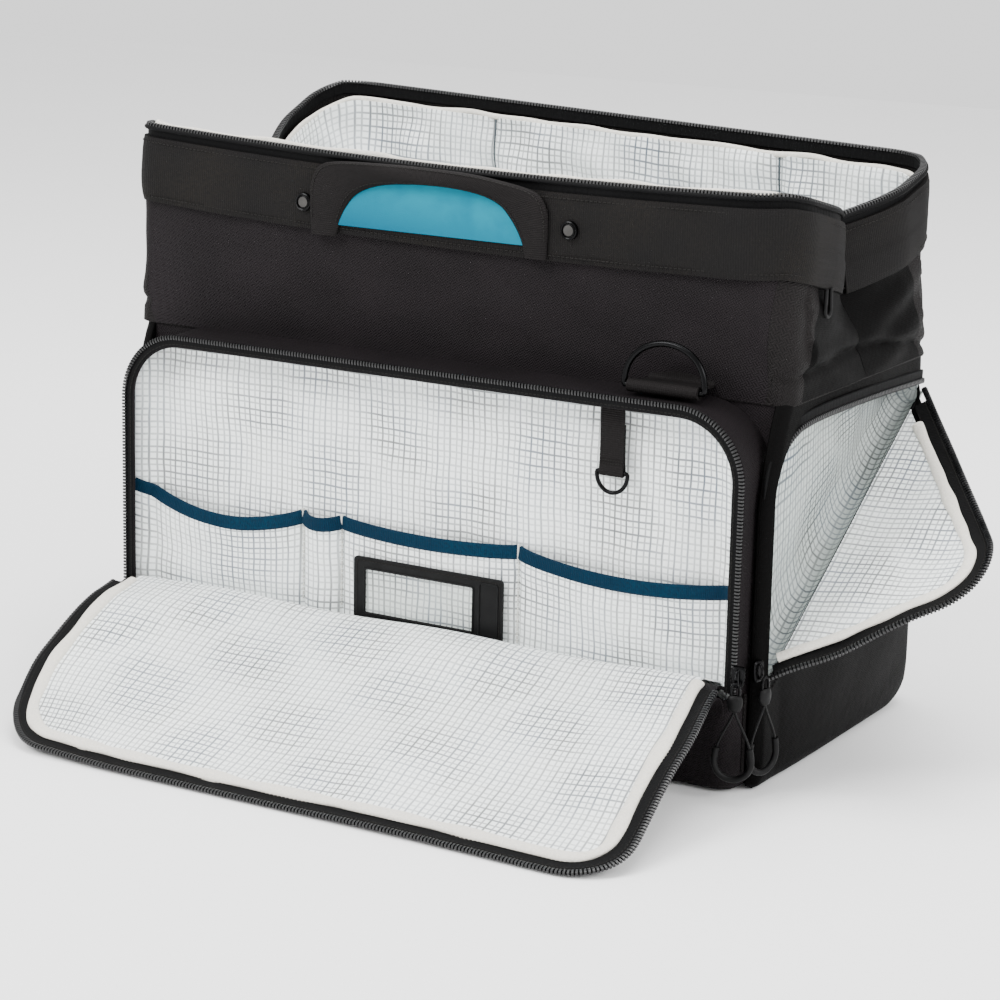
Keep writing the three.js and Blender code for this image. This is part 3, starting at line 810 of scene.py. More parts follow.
def rim_hem(tag):
    """The soft rolled hem that the lining hangs from."""
    path, normals = rim_path(tag, 9.0, HEM_DROP[tag])
    run = np.arange(len(path)) * RIM_STEP
    wave = ripple(run, 0, 40, 0.8, 11 if tag == "front" else 12)
    path = path - normals * (wave + slack(tag, path))[:, None]
    path[:, 2] += ripple(run, 0, 55, 0.7, 13) - 0.12 * slack(tag, path)
    thick, tall = HEM_SIZE[tag]
    settle(sweep(tag + "_rim_hem", path, normals, circle(thick, 14, tall), HEM), tag + "_mouth", "lining")


for tag in TAGS:
    band(tag)
    rim_zip(tag)
    rim_hem(tag)


# ------------------------------------------------------------------ slack fabric and lining of the mouth
UPPER_ROWS = 30
UPPER_CUTS = (
    ("side_right", 26, NYLON),
    ("corner_right", 24, COARSE),
    ("panel", 88, BALLISTIC),
    ("corner_left", 24, COARSE),
    ("side_left", 26, NYLON),
)
FOLD_AT = ((-140, -124, -86, -30, 22, 72, 100, 135), (271, 279, 282, 284, 282, 278, 272, 264))  # y, z
LINING_SEAMS = (-110.0, 135.0)


def loft(top, bottom, rows, bulge, creases, wavelength, seed):
    """A creased grid of points from a line round the body up to a line round the mouth."""
    t = np.linspace(0, 1, rows)[None, :, None]
    pts = bottom[:, None] * (1 - t) + top[:, None] * t
    along = tangents(top)
    out = unit(np.column_stack([along[:, 1], -along[:, 0], 0 * along[:, 0]]))
    wave = ripple(travelled(top)[:, None], pts[..., 2] * 1.4, wavelength, creases, seed)
    fade = np.sin(math.pi * t[..., 0]) ** 0.6
    return pts + out[:, None] * ((wave + bulge) * fade)[..., None]


def between(pts, left, right, count):
    """Resamples a loft's columns between two slanting lines, given as each row's column."""
    t = np.linspace(0, 1, count)[:, None]
    place = left[None] * (1 - t) + right[None] * t
    low = np.clip(place.astype(int), 0, len(pts) - 2)
    part = (place - low)[..., None]
    row = np.arange(pts.shape[1])[None]
    return pts[low, row] * (1 - part) + pts[low + 1, row] * part


def upper_grid(tag):
    """The slack fabric between the padded body and the mouth. It isn't mirrored for the back."""
    front = tag == "front"
    plan = half_plan(RIM_X - 4.2, RIM_Y - 4.2, corners(tag, 4.0), 0.0, 1.0)
    foot = half_plan(HALF_W + 0.4, HALF_D + 0.4, FOOT_CORNERS[tag])
    top = at_height(plan, rim_top(tag, plan) - TAPE_H - BAND_H + 9)
    skirt = 22.0 * ease((-foot[:, 0] - 235) / 15) * ease((-foot[:, 1] - 122) / 12) * front
    pts = loft(top, at_height(foot, WALL_TOP - 1.0 - skirt), UPPER_ROWS, 0.6, 0.55, 70, 21)
    x, y, z = np.moveaxis(pts, -1, 0)
    side = np.sign(x)
    t = np.linspace(0, 1, UPPER_ROWS)[None]
    crease = ripple(y, z * 1.6 + y * 0.5, 60, 2.1, 22)
    x += side * (crease + 2.0) * (np.abs(y) < 95) * np.sin(math.pi * t) ** 0.7
    x -= 3.6 * ease((-x - 190) / 60) * front
    over = z - np.interp(y if front else -y, *FOLD_AT)
    fold = 1.6 * bell(over - 5, 8) - 3.4 * bell(over + 2, 3.4)
    x += side * fold * (np.abs(x) > 250)
    return pts


def upper_cover(tag):
    """Cuts the slack fabric into five pieces, with near-black tubes along the seams between them as painted
    shadow of their grooves.
    """
    pts = upper_grid(tag)
    mirror = [1, 1, 1] if tag == "front" else MIRROR_Y
    half = "front" if tag == "front" else "rear"
    stands = {"panel": tag + "_upper_panel"}
    stands.update({f"side_{side}": f"{side}_{half}_gusset" for side in ("right", "left")})
    last = len(pts) - 1.0
    lines = [(0.0, 0.0), (24.0, 20.0), (FRONT_START + 1.0, FRONT_START - 7.0)]
    lines += [(last - low, last - high) for low, high in lines[::-1]]
    lines = [np.linspace(low, high, UPPER_ROWS) for low, high in lines]
    for (name, count, material), left, right in zip(UPPER_CUTS, lines, lines[1:]):
        part = between(pts, left, right, count) * mirror
        obj = surface(f"{tag}_upper_{name}_cover", part, material, thickness=1.2, flip=tag == "back")
        slot = "smooth_nylon" if material == NYLON else "ballistic_nylon"
        bend(obj, tag, slot, *([stands[name]] if name in stands else []))
    seams = []
    # Painted shadow along each seam's groove.
    for at in lines[1:-1]:
        line = between(pts, at, at, 1)[0] * mirror
        seams.append(sweep("seam", line, line * [1, 1, 0], circle(1.2, 8), SEAM_SHADOW))
    bend(join(tag + "_upper_seam_shadows", *seams), tag, "ballistic_nylon")


def mouth_lining(tag):
    """The lining from the rim's hem down to the top of the padded walls."""
    plan = half_plan(RIM_X - 10.0, RIM_Y - 10.0, corners(tag, 8.0), 0.0, 0.9)
    top = at_height(plan, rim_top(tag, plan) - HEM_DROP[tag] - 0.6)
    top[:, 1] += slack(tag, top)
    foot = half_plan(228.0, 112.0, (12.0, 12.0))
    pts = loft(top, at_height(foot, WALL_TOP - 4.0), 40, -1.0, 3.6, 58, 31)
    if tag == "back":
        pts = pts * MIRROR_Y
        depth = sum(bell(pts[..., 0] - x, 4.0) for x in LINING_SEAMS)
        pts[..., 1] += 4.5 * depth * (pts[..., 1] > 80)
    obj = surface(tag + "_mouth_lining", pts, LINING, thickness=1.0, flip=tag == "front")
    bend(obj, tag, "lining")
    return pts


def lining_seams(pts):
    """Grey seams down the lining's back wall, in its grooves: real seams whose grey is also painted shade of
    the folds.
    """
    middle = pts[:, 20]
    seams = []
    for x in LINING_SEAMS:
        column = np.argmin(np.abs(middle[:, 0] - x) + 1000 * (middle[:, 1] < 80))
        line = pts[column] - [0, 1.3, 0]
        seams.append(sweep("seam", line, FORWARD, circle(0.9, 8), THREAD_AND_FOLD_SHADE))
    bend(join("back_lining_seams", *seams), "back", "lining")


upper_cover("front")
upper_cover("back")
mouth_lining("front")
lining_seams(mouth_lining("back"))


# ------------------------------------------------------------------ padded body
BACK_FOOT_R = 50.0  # the body's rounded lower back edge
FOOT_PROFILE = [(0.3, 9.0), (1.0, 5.6), (2.6, 3.0), (5.2, 1.3), (9.0, 0.4), (18.0, 0.0)]  # height, inset
TRAY_ROWS = ((WALL_TOP - 3, 0), (240, 0.5), (200, 1), (150, 1.5), (100, 2), (50, 2), (22, 3), (13, 7))
TRAY_ROWS += ((9.5, 16),)
PIPE_CORNER = HALF_W - 25


def back_lift(y):
    """How far the body's foot rises towards its rounded lower back edge."""
    past = np.clip((y - HALF_D + BACK_FOOT_R) / BACK_FOOT_R, 0, 0.99)
    return BACK_FOOT_R * (1 - np.sqrt(1 - past**2))


def back_reach(z):
    """How far back the body reaches at a height."""
    under = np.clip((BACK_FOOT_R - z) / BACK_FOOT_R, 0, 1)
    return HALF_D - BACK_FOOT_R * (1 - np.sqrt(1 - under**2))


def interior():
    """The tray of the main compartment below the top of the padded walls."""
    rows = [at_height(whole_plan(228.4 - inset, 112.6 - inset, 12.0), z) for z, inset in TRAY_ROWS]
    pts = np.stack(rows, 1)
    pts[..., 1] = np.minimum(pts[..., 1], back_reach(pts[..., 2]) - 6.0)
    walls = surface("tray", pts, LINING, wrap=True, flip=True)
    floor = pts[:, -1]
    tray = join("main_compartment_lining", walls, lid("tray_floor", floor, LINING, floor[:, :2]))
    settle(tray, "root", "lining", "interior_lining", "right_wall", "left_wall", "front_wall", "base_board")


def shell_rows(top):
    """(height, inset) rows of the body from its rounded foot to a height."""
    foot_top = FOOT_PROFILE[-1][0]
    heights = np.linspace(foot_top, top, int((top - foot_top) / 9.0) + 2)[1:]
    return FOOT_PROFILE + [(h, 0.0) for h in heights]


def side_plan(inset, height):
    """The right side panel's plan, from the front pocket's side round to the back seam. Beside
    the pocket the panel runs forward to carry its own pocket's zip."""
    hx, hy = HALF_W - inset, HALF_D - inset
    reach = [-147, -145, -139, -129, -HALF_D - 0.4]
    front_y = np.interp(height, [0, 196, 222, 250, WALL_TOP], reach) + inset
    tight, wide = 9.0 - min(inset, 5), 25.0 - min(inset, 12)
    a = np.linspace(-math.pi / 2, 0, 12)
    front = np.stack([hx - tight + tight * np.cos(a), front_y + tight + tight * np.sin(a)], -1)
    side = np.stack([np.full(60, hx), np.linspace(front_y + tight, hy - wide, 60)], -1)
    back = np.stack([hx - wide + wide * np.cos(a), hy - wide - wide * np.sin(a)], -1)[::-1]
    beside = np.stack([np.full(4, hx - tight - 1.0), np.linspace(-HALF_D, front_y + 1.0, 4)], -1)
    return np.vstack([beside, front, side[1:-1], back])


FLAP_FOOT = (-134.5, 76.0)  # (y, z) of the side flap's corners with the flap closed
FLAP_HIGH = (-134.5, 246.0)
FLAP_BACK = (109.5, 236.0)
FLAP_R = 50
FOLD_RUN, FOLD_RISE = FLAP_BACK[0] - FLAP_FOOT[0], FLAP_BACK[1] - FLAP_FOOT[1]
FOLD_SLOPE = FOLD_RISE / FOLD_RUN
TOP_SLOPE = (FLAP_BACK[1] - FLAP_HIGH[1]) / FOLD_RUN


def fold_z(y):
    """Height of the side flap's fold line."""
    return FLAP_FOOT[1] + FOLD_SLOPE * (y - FLAP_FOOT[0])


def flap_outline(inset, fold=0.0, step=3.0):
    """The side flap's outline in the closed pocket as (y, z), from a line at a distance over
    the fold round to its back."""
    rise = fold * math.hypot(1, FOLD_SLOPE)
    front = FLAP_FOOT[0] + inset
    top = FLAP_HIGH[1] - inset + TOP_SLOPE * inset
    foot = fold_z(front) + rise
    back = front + (top - foot) / (FOLD_SLOPE - TOP_SLOPE)
    knots = [(front, foot, 0), (front, top, FLAP_R - inset), (back, fold_z(back) + rise, 0)]
    return rounded_path(knots, step)


def pocket_cutter():
    """A block in the shape of the open pocket's mouth, through the right side."""
    rim = flap_outline(-3.0, -1.0, 4.0)
    count = len(rim)
    verts = [(x, y, z) for x in (HALF_W - 40, HALF_W + 12) for y, z in rim]
    faces = [list(range(count))[::-1], list(range(count, 2 * count))]
    faces += [[k, (k + 1) % count, (k + 1) % count + count, k + count] for k in range(count)]
    return outward(make("cutter", verts, faces))


def side_shell(side):
    """The bulging outer skin of a side pocket."""
    sign = 1 if side == "right" else -1
    pts = np.stack([at_height(side_plan(i, h), h) for h, i in shell_rows(WALL_TOP)], 1)
    x, y, z = np.moveaxis(pts, -1, 0)  # views, so that changing them moves the points
    t = np.clip(z / WALL_TOP, 0, 1)
    z += back_lift(y) * (1 - t)
    middle = np.clip(1 - (np.abs(y) / 118) ** 4, 0, 1)
    uneven = ripple(y, z, 90, 0.9, 41) * (t > 0.08)
    x += middle * (2.2 * np.sin(math.pi * t) + 4.5 * bell(z - 45, 45) + uneven)
    x *= sign
    obj = surface(side + "_side_cover", pts, NYLON, thickness=2.0, flip=sign < 0)
    if side == "right":
        cut(obj, pocket_cutter())
    settle(obj, "root", "smooth_nylon", side + "_side_panel")


def long_wall(tag, *nodes):
    """The body's long face at the back, and the strip that shows beside the front pocket."""
    back = tag == "back"
    edge = HALF_W - (25 if back else 9)
    x = np.linspace(-edge, edge, 70)
    line = [(HALF_D - inset, z) for z, inset in shell_rows(WALL_TOP)]
    if back:
        turn = np.linspace(0, math.pi / 2, 14)
        centre = HALF_D - BACK_FOOT_R
        line = [(centre + BACK_FOOT_R * math.sin(a), BACK_FOOT_R * (1 - math.cos(a)) + 0.3) for a in turn]
        line += [(HALF_D, z) for z in np.linspace(BACK_FOOT_R, WALL_TOP, 24)[1:]]
    pts = np.stack([np.column_stack([x, np.full(70, y), np.full(70, z)]) for y, z in line], 1)
    if back:
        t = np.clip(pts[..., 2] / WALL_TOP, 0, 1)
        pts[..., 1] -= 1.2 * np.sin(math.pi * t) * (1 - (x[:, None] / HALF_W) ** 4)
        pts[..., 1] -= (0.8 + ripple(pts[..., 0], pts[..., 2], 110, 0.5, 43)) * (t > 0.2)
    pts[..., 1] *= 1 if back else -1
    wall = surface(tag + "_wall_cover", pts, BALLISTIC, thickness=2.0, flip=back)
    settle(wall, "root", "ballistic_nylon", *nodes)


def base_cover():
    ring = whole_plan(HALF_W - 7.5, HALF_D - 7.5, 16.0)
    ring[:, 1] = np.minimum(ring[:, 1], HALF_D - BACK_FOOT_R + 1)
    pts = np.stack([at_height(ring * k, z) for k, z in ((1.0, 0.3), (0.996, 0.3), (0.995, 2.0))], 1)
    rim = surface("base_rim", pts, COARSE, wrap=True)
    bottom = lid("base_face", pts[:, 0], COARSE, ring, down=True)
    settle(join("base_cover", rim, bottom), "root", "ballistic_nylon", "base_panel")


def body_piping():
    """Piping down the body's back corners and round the top of its padded part."""
    made = []
    foot, r = HALF_D - BACK_FOOT_R, BACK_FOOT_R + 0.4
    for x in (PIPE_CORNER, -PIPE_CORNER):
        arc = np.linspace(0, math.pi / 2, 12)
        line = [(x, foot + r * math.sin(a), BACK_FOOT_R - r * math.cos(a) + 0.4) for a in arc]
        line = resample(line + [(x, HALF_D + 0.4, WALL_TOP)], 5)
        made.append(sweep("corner", line, (0, 0.8, -0.6), circle(1.7, 8), COARSE))
    for tag, sign in (("front", 1), ("back", -1)):
        ring = half_plan(HALF_W + 0.4, HALF_D + 0.4, FOOT_CORNERS[tag]) * [1, sign]
        made.append(sweep("top", at_height(ring, WALL_TOP - 1), UP, circle(1.2, 8), COARSE))
    settle(join("body_piping", *made), "root", "ballistic_nylon")


interior()
side_shell("right")
side_shell("left")
long_wall("back", "back_wall")
long_wall("front")
base_cover()
body_piping()


# ------------------------------------------------------------------ front pocket
ZIP_FOOT = HINGE_Z + 8
SLIPS = {  # left and right end, how far it gapes and how far its edge droops
    "left": (-248.5, -105.0, 9.5, 13.0),
    "pen": (-105.0, -72.0, 10.0, 2.5),
    "centre": (-72.0, 74.0, 7.0, 3.5),
    "right": (74.0, 248.5, 9.5, 8.5),
}
SLIP_RISE = 9.0  # the slip pockets' soft edge over the CAD's
BINDING_DROP = 4.4
SLIP_ROWS = 34
SLIP_SEAMS = ((-105.0, 78.0), (-72.0, 78.0), (74.0, 74.0))  # place and lower end
WINDOW_BACK = -150.3  # the centre pocket stays flat behind its window


def arch_path(inset, foot, step=3.0):
    """The pocket's arch from its right foot over the top to its left foot, as (x, z)."""
    x, top, r = POCKET_X - inset, POCKET_TOP - inset, POCKET_R - inset
    return rounded_path([(x, foot, 0), (x, top, r), (-x, top, r), (-x, foot, 0)], step)


def arch_normals(path):
    t = tangents(path)
    return np.column_stack([t[:, 1], np.zeros(len(t)), -t[:, 0]])


def in_arch(inset, foot):
    """A grid over the inside of the arch: x and z arrays."""
    x0, top, r = POCKET_X - inset, POCKET_TOP - inset, POCKET_R - inset
    z = foot + (top - foot) * np.sin(np.linspace(0, math.pi / 2, 60)) ** 1.1
    over = np.clip(z - (top - r), 0, r)
    half = x0 - r + np.sqrt(np.maximum(r**2 - over**2, 0))
    u = np.linspace(-1, 1, 120)[:, None]
    return u * half[None], np.repeat(z[None], 120, 0)


def pocket_gusset():
    """The arch's outer skin, slightly hollow, and the tape that lines it."""
    outer = arch_path(0, HINGE_Z)
    depths = (-HALF_D - 0.5, -135.0, -150.0, -160.0, POCKET_Y + 0.3)
    pull = 1.2 * np.sin(np.linspace(0, math.pi, len(depths)))
    pts = np.stack([at_depth(outer, y) - arch_normals(outer) * p for y, p in zip(depths, pull)], 1)
    shell = surface("front_pocket_side", pts, BALLISTIC, thickness=1.4)
    settle(outward(shell), "root", "ballistic_nylon", "front_pocket_gusset")
    inner = arch_path(3.4, HINGE_Z - 4)
    wave = arch_normals(inner) * ripple(np.arange(len(inner)) * 3.0, 0, 60, 0.5, 51)[:, None]
    depths = np.linspace(PANEL_Y - 1, POCKET_Y + 0.6, 6)
    pts = np.stack([at_depth(inner, y) - wave * (k % 2) for k, y in enumerate(depths)], 1)
    lining = surface("front_pocket_side_lining", pts, TAPE, thickness=0.6)
    settle(lining, "root", "zip_tape")


def dish(x, z):
    """How far the pocket's padded back curves forward towards its sides and top."""
    side = np.clip((251 - np.abs(x)) / 28, 0, 1)
    top = np.clip((POCKET_TOP - 1 - z) / 14, 0, 1)
    return 14.5 * (1 - ease(side) * ease(top))


def pocket_zip():
    """The pocket's half of its zip: a tape facing the front with the coil on its outer edge."""
    run = arch_path(4.3, ZIP_FOOT)
    path = at_depth(run, POCKET_Y - 1.2)
    tape = sweep("front_pocket_zip_tape", path, FORWARD, flat_section(1.8, 7.0), TAPE)
    settle(tape, "root", "zip_tape", "front_pocket_zip")
    edge = path - arch_normals(run) * 3.6 + [0, 0.8, 0]
    fold = sweep("front_pocket_zip_fold", edge, FORWARD, circle(1.1, 8), BALLISTIC)
    settle(fold, "root", "ballistic_nylon")
    path = at_depth(arch_path(1.4, ZIP_FOOT, 2.6), POCKET_Y - 2.0)
    settle(teeth("front_pocket_zip_coil", path, FORWARD, COIL, ARCH_COIL_ROW), "root", "zip_tape")
    path = at_depth(arch_path(6.4, ZIP_FOOT), POCKET_Y - 2.0)
    settle(teeth("front_pocket_zip_stitches", path, FORWARD, THREAD, ARCH_STITCH_ROW), "root", "zip_tape")


def organizer():
    """The pocket's padded back, with crowded creases at its upper right corner."""
    x, z = in_arch(3.2, HINGE_Z - 2)
    fade = np.clip((z - 60) / 30, 0.2, 1)
    crowd = bell(x - 214, 40) * bell(z - 205, 35) * 3.0 * np.sin((x * 0.8 + z) / 9.0)
    puff = 1.2 + ripple(x, z * 0.55, 60, 1.35, 61) * fade + 0.25 * crowd
    edge = np.clip(np.minimum(252 - np.abs(x), 262 - z) / 14, 0, 1) ** 0.5
    pts = np.stack([x, PANEL_Y - 0.3 - dish(x, z) - puff * edge * 0.9, z], -1)
    panel = surface("organizer_cover", pts, LINING, uvs=np.stack([x, z], -1), thickness=1.6)
    settle(panel, "root", "lining", "organizer_panel")


def across_slip(x, name):
    """How far across a slip pocket x is, from 0 to 1."""
    x0, x1 = SLIPS[name][:2]
    return np.clip((x - x0) / (x1 - x0), 0, 1)


def slip_sag(x, name):
    """How far a slip pocket's top edge stands over or under its level line."""
    tilt = 7.0 * np.clip((-150 - x) / 95, 0, 1) ** 1.5
    return tilt - SLIPS[name][3] * np.sin(math.pi * across_slip(x, name)) ** 0.8


def slip_top(x, name):
    return SLIP_HIGH[2] + SLIP_RISE + slip_sag(x, name)


def slip_face(x, v, name):
    """Y of a slip pocket's face at x, and v from 0 at its foot to 1 at its top edge."""
    x0, x1, gape, _ = SLIPS[name]
    bow = np.sin(math.pi * across_slip(x, name)) ** (0.42 if x1 - x0 > 50 else 0.6)
    return -143.6 - np.maximum(gape * bow * (0.62 + 0.38 * v), dish(x, HINGE_Z))


def slip_columns(name):
    x0, x1 = SLIPS[name][:2]
    return max(14, int((x1 - x0) / 2.4))


def slip_cloth(name):
    """The face of a slip pocket, with wrinkles between its seams."""
    x0, x1 = SLIPS[name][:2]
    x, v = np.meshgrid(np.linspace(x0, x1, slip_columns(name)), np.linspace(0, 1, SLIP_ROWS), indexing="ij")
    foot = SLIP_LOW[2] - 4
    z = foot + v * (slip_top(x, name) - SLIP_LOW[2])
    wrinkle = ripple(x * 0.45, z, 42, 0.75, 71) * np.sin(math.pi * across_slip(x, name))
    if name == "centre":
        wrinkle = wrinkle * np.clip((np.abs(x - 4) - 64) / 6, 0, 1)
    y = slip_face(x, v, name) - wrinkle
    if name == "centre":
        y = np.maximum(y, WINDOW_BACK)
    uvs = np.stack([x, z - slip_sag(x, name) * v], -1)
    obj = surface(name + "_slip_face", np.stack([x, y, z], -1), LINING, uvs=uvs, thickness=1.0)
    settle(obj, "root", "lining", "pen_pocket" if name == "pen" else name + "_slip_pocket")


def slip_binding():
    """Teal tape along the top edges of all the slip pockets."""
    strips = []
    for name, (x0, x1, _, _) in SLIPS.items():
        x = np.linspace(x0 + 0.6, x1 - 0.6, slip_columns(name))
        y = slip_face(x, 1.0, name)
        if name == "centre":
            y = np.maximum(y, WINDOW_BACK - 0.9)
        line = resample(np.column_stack([x, y, slip_top(x, name) - BINDING_DROP]), 3.0)
        strips.append(sweep("strip", line, FORWARD, flat_section(2.8, 10.2, 1.1), TEAL_TAPE))
    settle(join("slip_binding", *strips), "root", "teal_binding", "pocket_binding")


def slip_tacks():
    """Stitches down the seams between slip pockets, with a denser bar at each top."""
    tacks = []
    for x, low in SLIP_SEAMS:
        line = [[x, -144.9 - 0.8 * (z > 132), z] for z in np.arange(low, 144.0, 2.0)]
        tacks.append(teeth("tack", line, FORWARD, CREAM_THREAD, TACK_ROW))
    for x, _ in SLIP_SEAMS:
        line = [[x, -145.6, z] for z in np.arange(134, 145, 1.0)]
        tacks.append(teeth("bar", line, FORWARD, CREAM_THREAD, BAR_TACK_ROW))
    settle(join("slip_seam_stitches", *tacks), "root", "lining")


def window():
    """The clear card window: its moulded frame stays the CAD's, with a stitched edge and a card."""
    low, high = node_box("window_frame")
    face_y, inset = low[1] - 0.1, 2.6
    rect = rounded_rect(low[::2] + inset, high[::2] - inset, 2, 2.6)
    pane_low, pane_high = node_box("window_pane")
    u, v = (np.linspace(pane_low[k], pane_high[k], n) for k, n in ((0, 40), (2, 20)))
    x, z = np.meshgrid(u, v, indexing="ij")
    y = pane_low[1] + 0.2 + 0.5 * np.sin(x / 9.0 + z / 14.0)
    uvs = np.stack([x, z], -1)
    pane = surface("window_pane_vinyl", np.stack([x, y, z], -1), PANE, uvs=uvs, thickness=0.5)
    settle(pane, "root", "clear_vinyl", "window_pane")
    row = teeth("window_stitches", at_depth(rect, face_y), FORWARD, THREAD, WINDOW_STITCH_ROW)
    settle(row, "root", "rubber")
    label, opening = rounded_rect((47, 73), (62, 114), 2, 2.0), rounded_rect((-48, 77), (42, 110), 1, 2.0)
    for name, rect, y, r in (("label", label, face_y, 0.7), ("inner", opening, face_y + 0.2, 0.9)):
        bead = sweep(f"window_{name}_edge", at_depth(rect, y), FORWARD, circle(r, 8), RUBBER, closed=True)
        settle(bead, "root", "rubber")


def foot_ring(height, inset):
    """The pocket foot's outline at a height, from its right end round the front to its left."""
    x, y = POCKET_X - inset, POCKET_Y + inset
    right = rounded_path([(x, -HALF_D - 0.5, 0), (x, y, max(3.0, 14.0 - inset * 0.6)), (0, y, 0)], 4.0)
    at = np.linspace(0, len(right) - 1, 90)
    right = np.column_stack([np.interp(at, np.arange(len(right)), column) for column in right.T])
    return at_height(np.vstack([right[:-1], (right * [-1, 1])[::-1]]), height)


def pocket_foot():
    """The stiff box under the front pocket that its flap folds down over."""
    pts = np.stack([foot_ring(h, inset) for h, inset in shell_rows(HINGE_Z + 1.5)], 1)
    shell = surface("front_pocket_foot_cover", pts, BALLISTIC, thickness=1.6, flip=True)
    bottom = lid("foot_base", pts[:, 0], COARSE, pts[:, 0, :2])
    settle(join("front_pocket_foot_cover", shell, bottom), "root", "ballistic_nylon", "front_pocket_foot")
    seams = []
    for s in (-1, 1):
        line = smooth_path([(s * (POCKET_X + 0.3), POCKET_Y + 13, z) for z in (14, 30, 50, HINGE_Z + 5)], 4)
        seams.append(sweep("seam", line, (s, 0, 0), circle(1.3, 8), COARSE))
    settle(join("front_pocket_foot_piping", *seams), "root", "ballistic_nylon")


def d_ring(tag, side, x, y, z, half, tall):
    """A half-round ring whose straight bar lies in its tab, leaning off the wall."""
    lean = math.radians(4) * side
    a = np.linspace(0, math.pi, 30)
    arc = np.stack([half * np.cos(a), 2.0 + (tall - 2.0) * np.sin(a) ** 0.9], -1)
    bar = np.stack([np.linspace(-half, half, 16)[1:-1], np.zeros(14)], -1)
    loop = np.vstack([arc, [(-half - 0.1, 0.9), (1 - half, 0.1)], bar, [(half - 1, 0.1), (half + 0.1, 0.9)]])
    across, up = resample(loop, 2.0, True).T
    path = np.column_stack([x + across, y - up * math.sin(lean), z + up * math.cos(lean)])
    ring = sweep(tag + "_d_ring_rod", path, (0, side, 0), circle(2.2, 14), METAL, closed=True)
    settle(ring, tag + "_d_ring", "black_metal", tag + "_d_ring")


def ring_tab(tag, side):
    """A D-ring in the rolled end of its webbing tab."""
    low, high = node_box(tag + "_d_ring")
    tab_low, tab_high = node_box(tag + "_ring_tab")
    x, z = (low[0] + high[0]) / 2, low[2] + 2.4
    y = (tab_low[1] if side < 0 else tab_high[1]) - side * 5.5
    half = (high[0] - low[0]) / 2 - 2.2
    d_ring(tag, side, x, y, z, half, high[2] - low[2] - 4.4)
    reach = half - 3.6
    line = [(a, y, z) for a in x + np.linspace(-reach, reach, 24)]
    roll = sweep(tag + "_tab_roll", line, (0, side, 0), circle(4.6, 28), STRAP)
    wall = side * (HALF_D + 0.4)
    run = [(y, z + 4.2), ((y + wall) / 2, z + 2.4), (wall + side * 3, z + 1.6), (wall + side * 1.4, z + 5)]
    run += [(wall + side * 1.2, z + k) for k in (12, 20, 29)]
    line = smooth_path(in_profile(run), 2.0)
    pts = np.stack([line + [x + s, 0, 0] for s in np.linspace(1.5 - reach, reach - 1.5, 16)])
    strap = surface("tab_strap", pts, STRAP, thickness=1.6, flip=side > 0)
    settle(join(tag + "_ring_strap", roll, strap), "root", "webbing", tag + "_ring_tab")


def key_strap(x, y, top):
    """A strap that hangs in a loop, with two rows of stitches."""
    front = [(y - 2.3, top + 6), (y - 1.6, top - 8), (y - 1.4, 225), (y - 1.7, 214), (y - 2.2, 209)]
    back = [(y - 1.8, 204.8), (y + 0.6, 205.0), (y + 1.6, 209), (y + 0.5, 214)]
    back += [(y + 0.1, 228), (y + 0.2, 240)]
    line = smooth_path([(x, a, b) for a, b in front + back], 2.0)
    normals = np.cross(tangents(line), np.array([1.0, 0, 0]))
    pieces = [sweep("key_strap_webbing", line, normals, flat_section(1.2, 18.4, 0.4), STRAP)]
    for z in (213.0, 215.0):
        stitch = [(a, y - 2.4, z) for a in np.linspace(x - 8, x + 8, 12)]
        pieces.append(teeth("row", stitch, FORWARD, THREAD, STRAP_STITCH_ROW))
    settle(join("key_strap_webbing", *pieces), "key_strap", "webbing", "key_strap")


def key_loop():
    low, high = node_box("key_strap")
    x, y = (low[0] + high[0]) / 2, (low[1] + high[1]) / 2
    key_strap(x, y, high[2])
    half, bar_z = 11.7, 207.0
    a = np.linspace(math.pi, 2 * math.pi, 26)
    arc = np.stack([half * np.cos(a), -1.6 + 13.0 * np.sin(a)], -1)
    bar = np.stack([np.linspace(half, -half, 14)[1:-1], np.zeros(12)], -1)
    loop = resample(np.vstack([arc, [(half - 0.1, -0.6)], bar, [(0.1 - half, -0.6)]]), 1.2, True)
    path = at_depth(loop + [x, bar_z], y - 0.4)
    ring = sweep("key_ring_rod", path, FORWARD, circle(1.5, 12), METAL, closed=True)
    settle(ring, "key_ring", "black_metal", "key_ring")


pocket_gusset()
pocket_zip()
organizer()
for name in SLIPS:
    slip_cloth(name)
slip_binding()
slip_tacks()
window()
pocket_foot()
ring_tab("front", -1)
ring_tab("back", 1)
key_loop()


# ------------------------------------------------------------------ front flap
FLAP_LENGTH = 197.0
FLAP_CORNERS = (40.0, 50.0)  # right and left
FLAP_ROLL = 33.0  # how much of the flap's line lies behind its fold
LINE_STEP = 2.0
FLAP_PROFILE = [(-143, 60), (-148, 66.5), (-155, 73), (-164, 77), (-174, 75.5), (-190, 69.5), (-215, 59)]
FLAP_PROFILE += [(-250, 42.5), (-290, 24.5), (-325, 10.5), (-345, 4.0), (-355.5, 1.8)]
FLAP_LINE = smooth_path(in_profile(FLAP_PROFILE), LINE_STEP)
FOLD_STRIP = [(-163.8, 56), (-164.4, 61), (-166.2, 65.6), (-169.5, 69), (-174, 70.8), (-180, 70.2)]
FOLD_STRIP += [(-186, 67.6)]


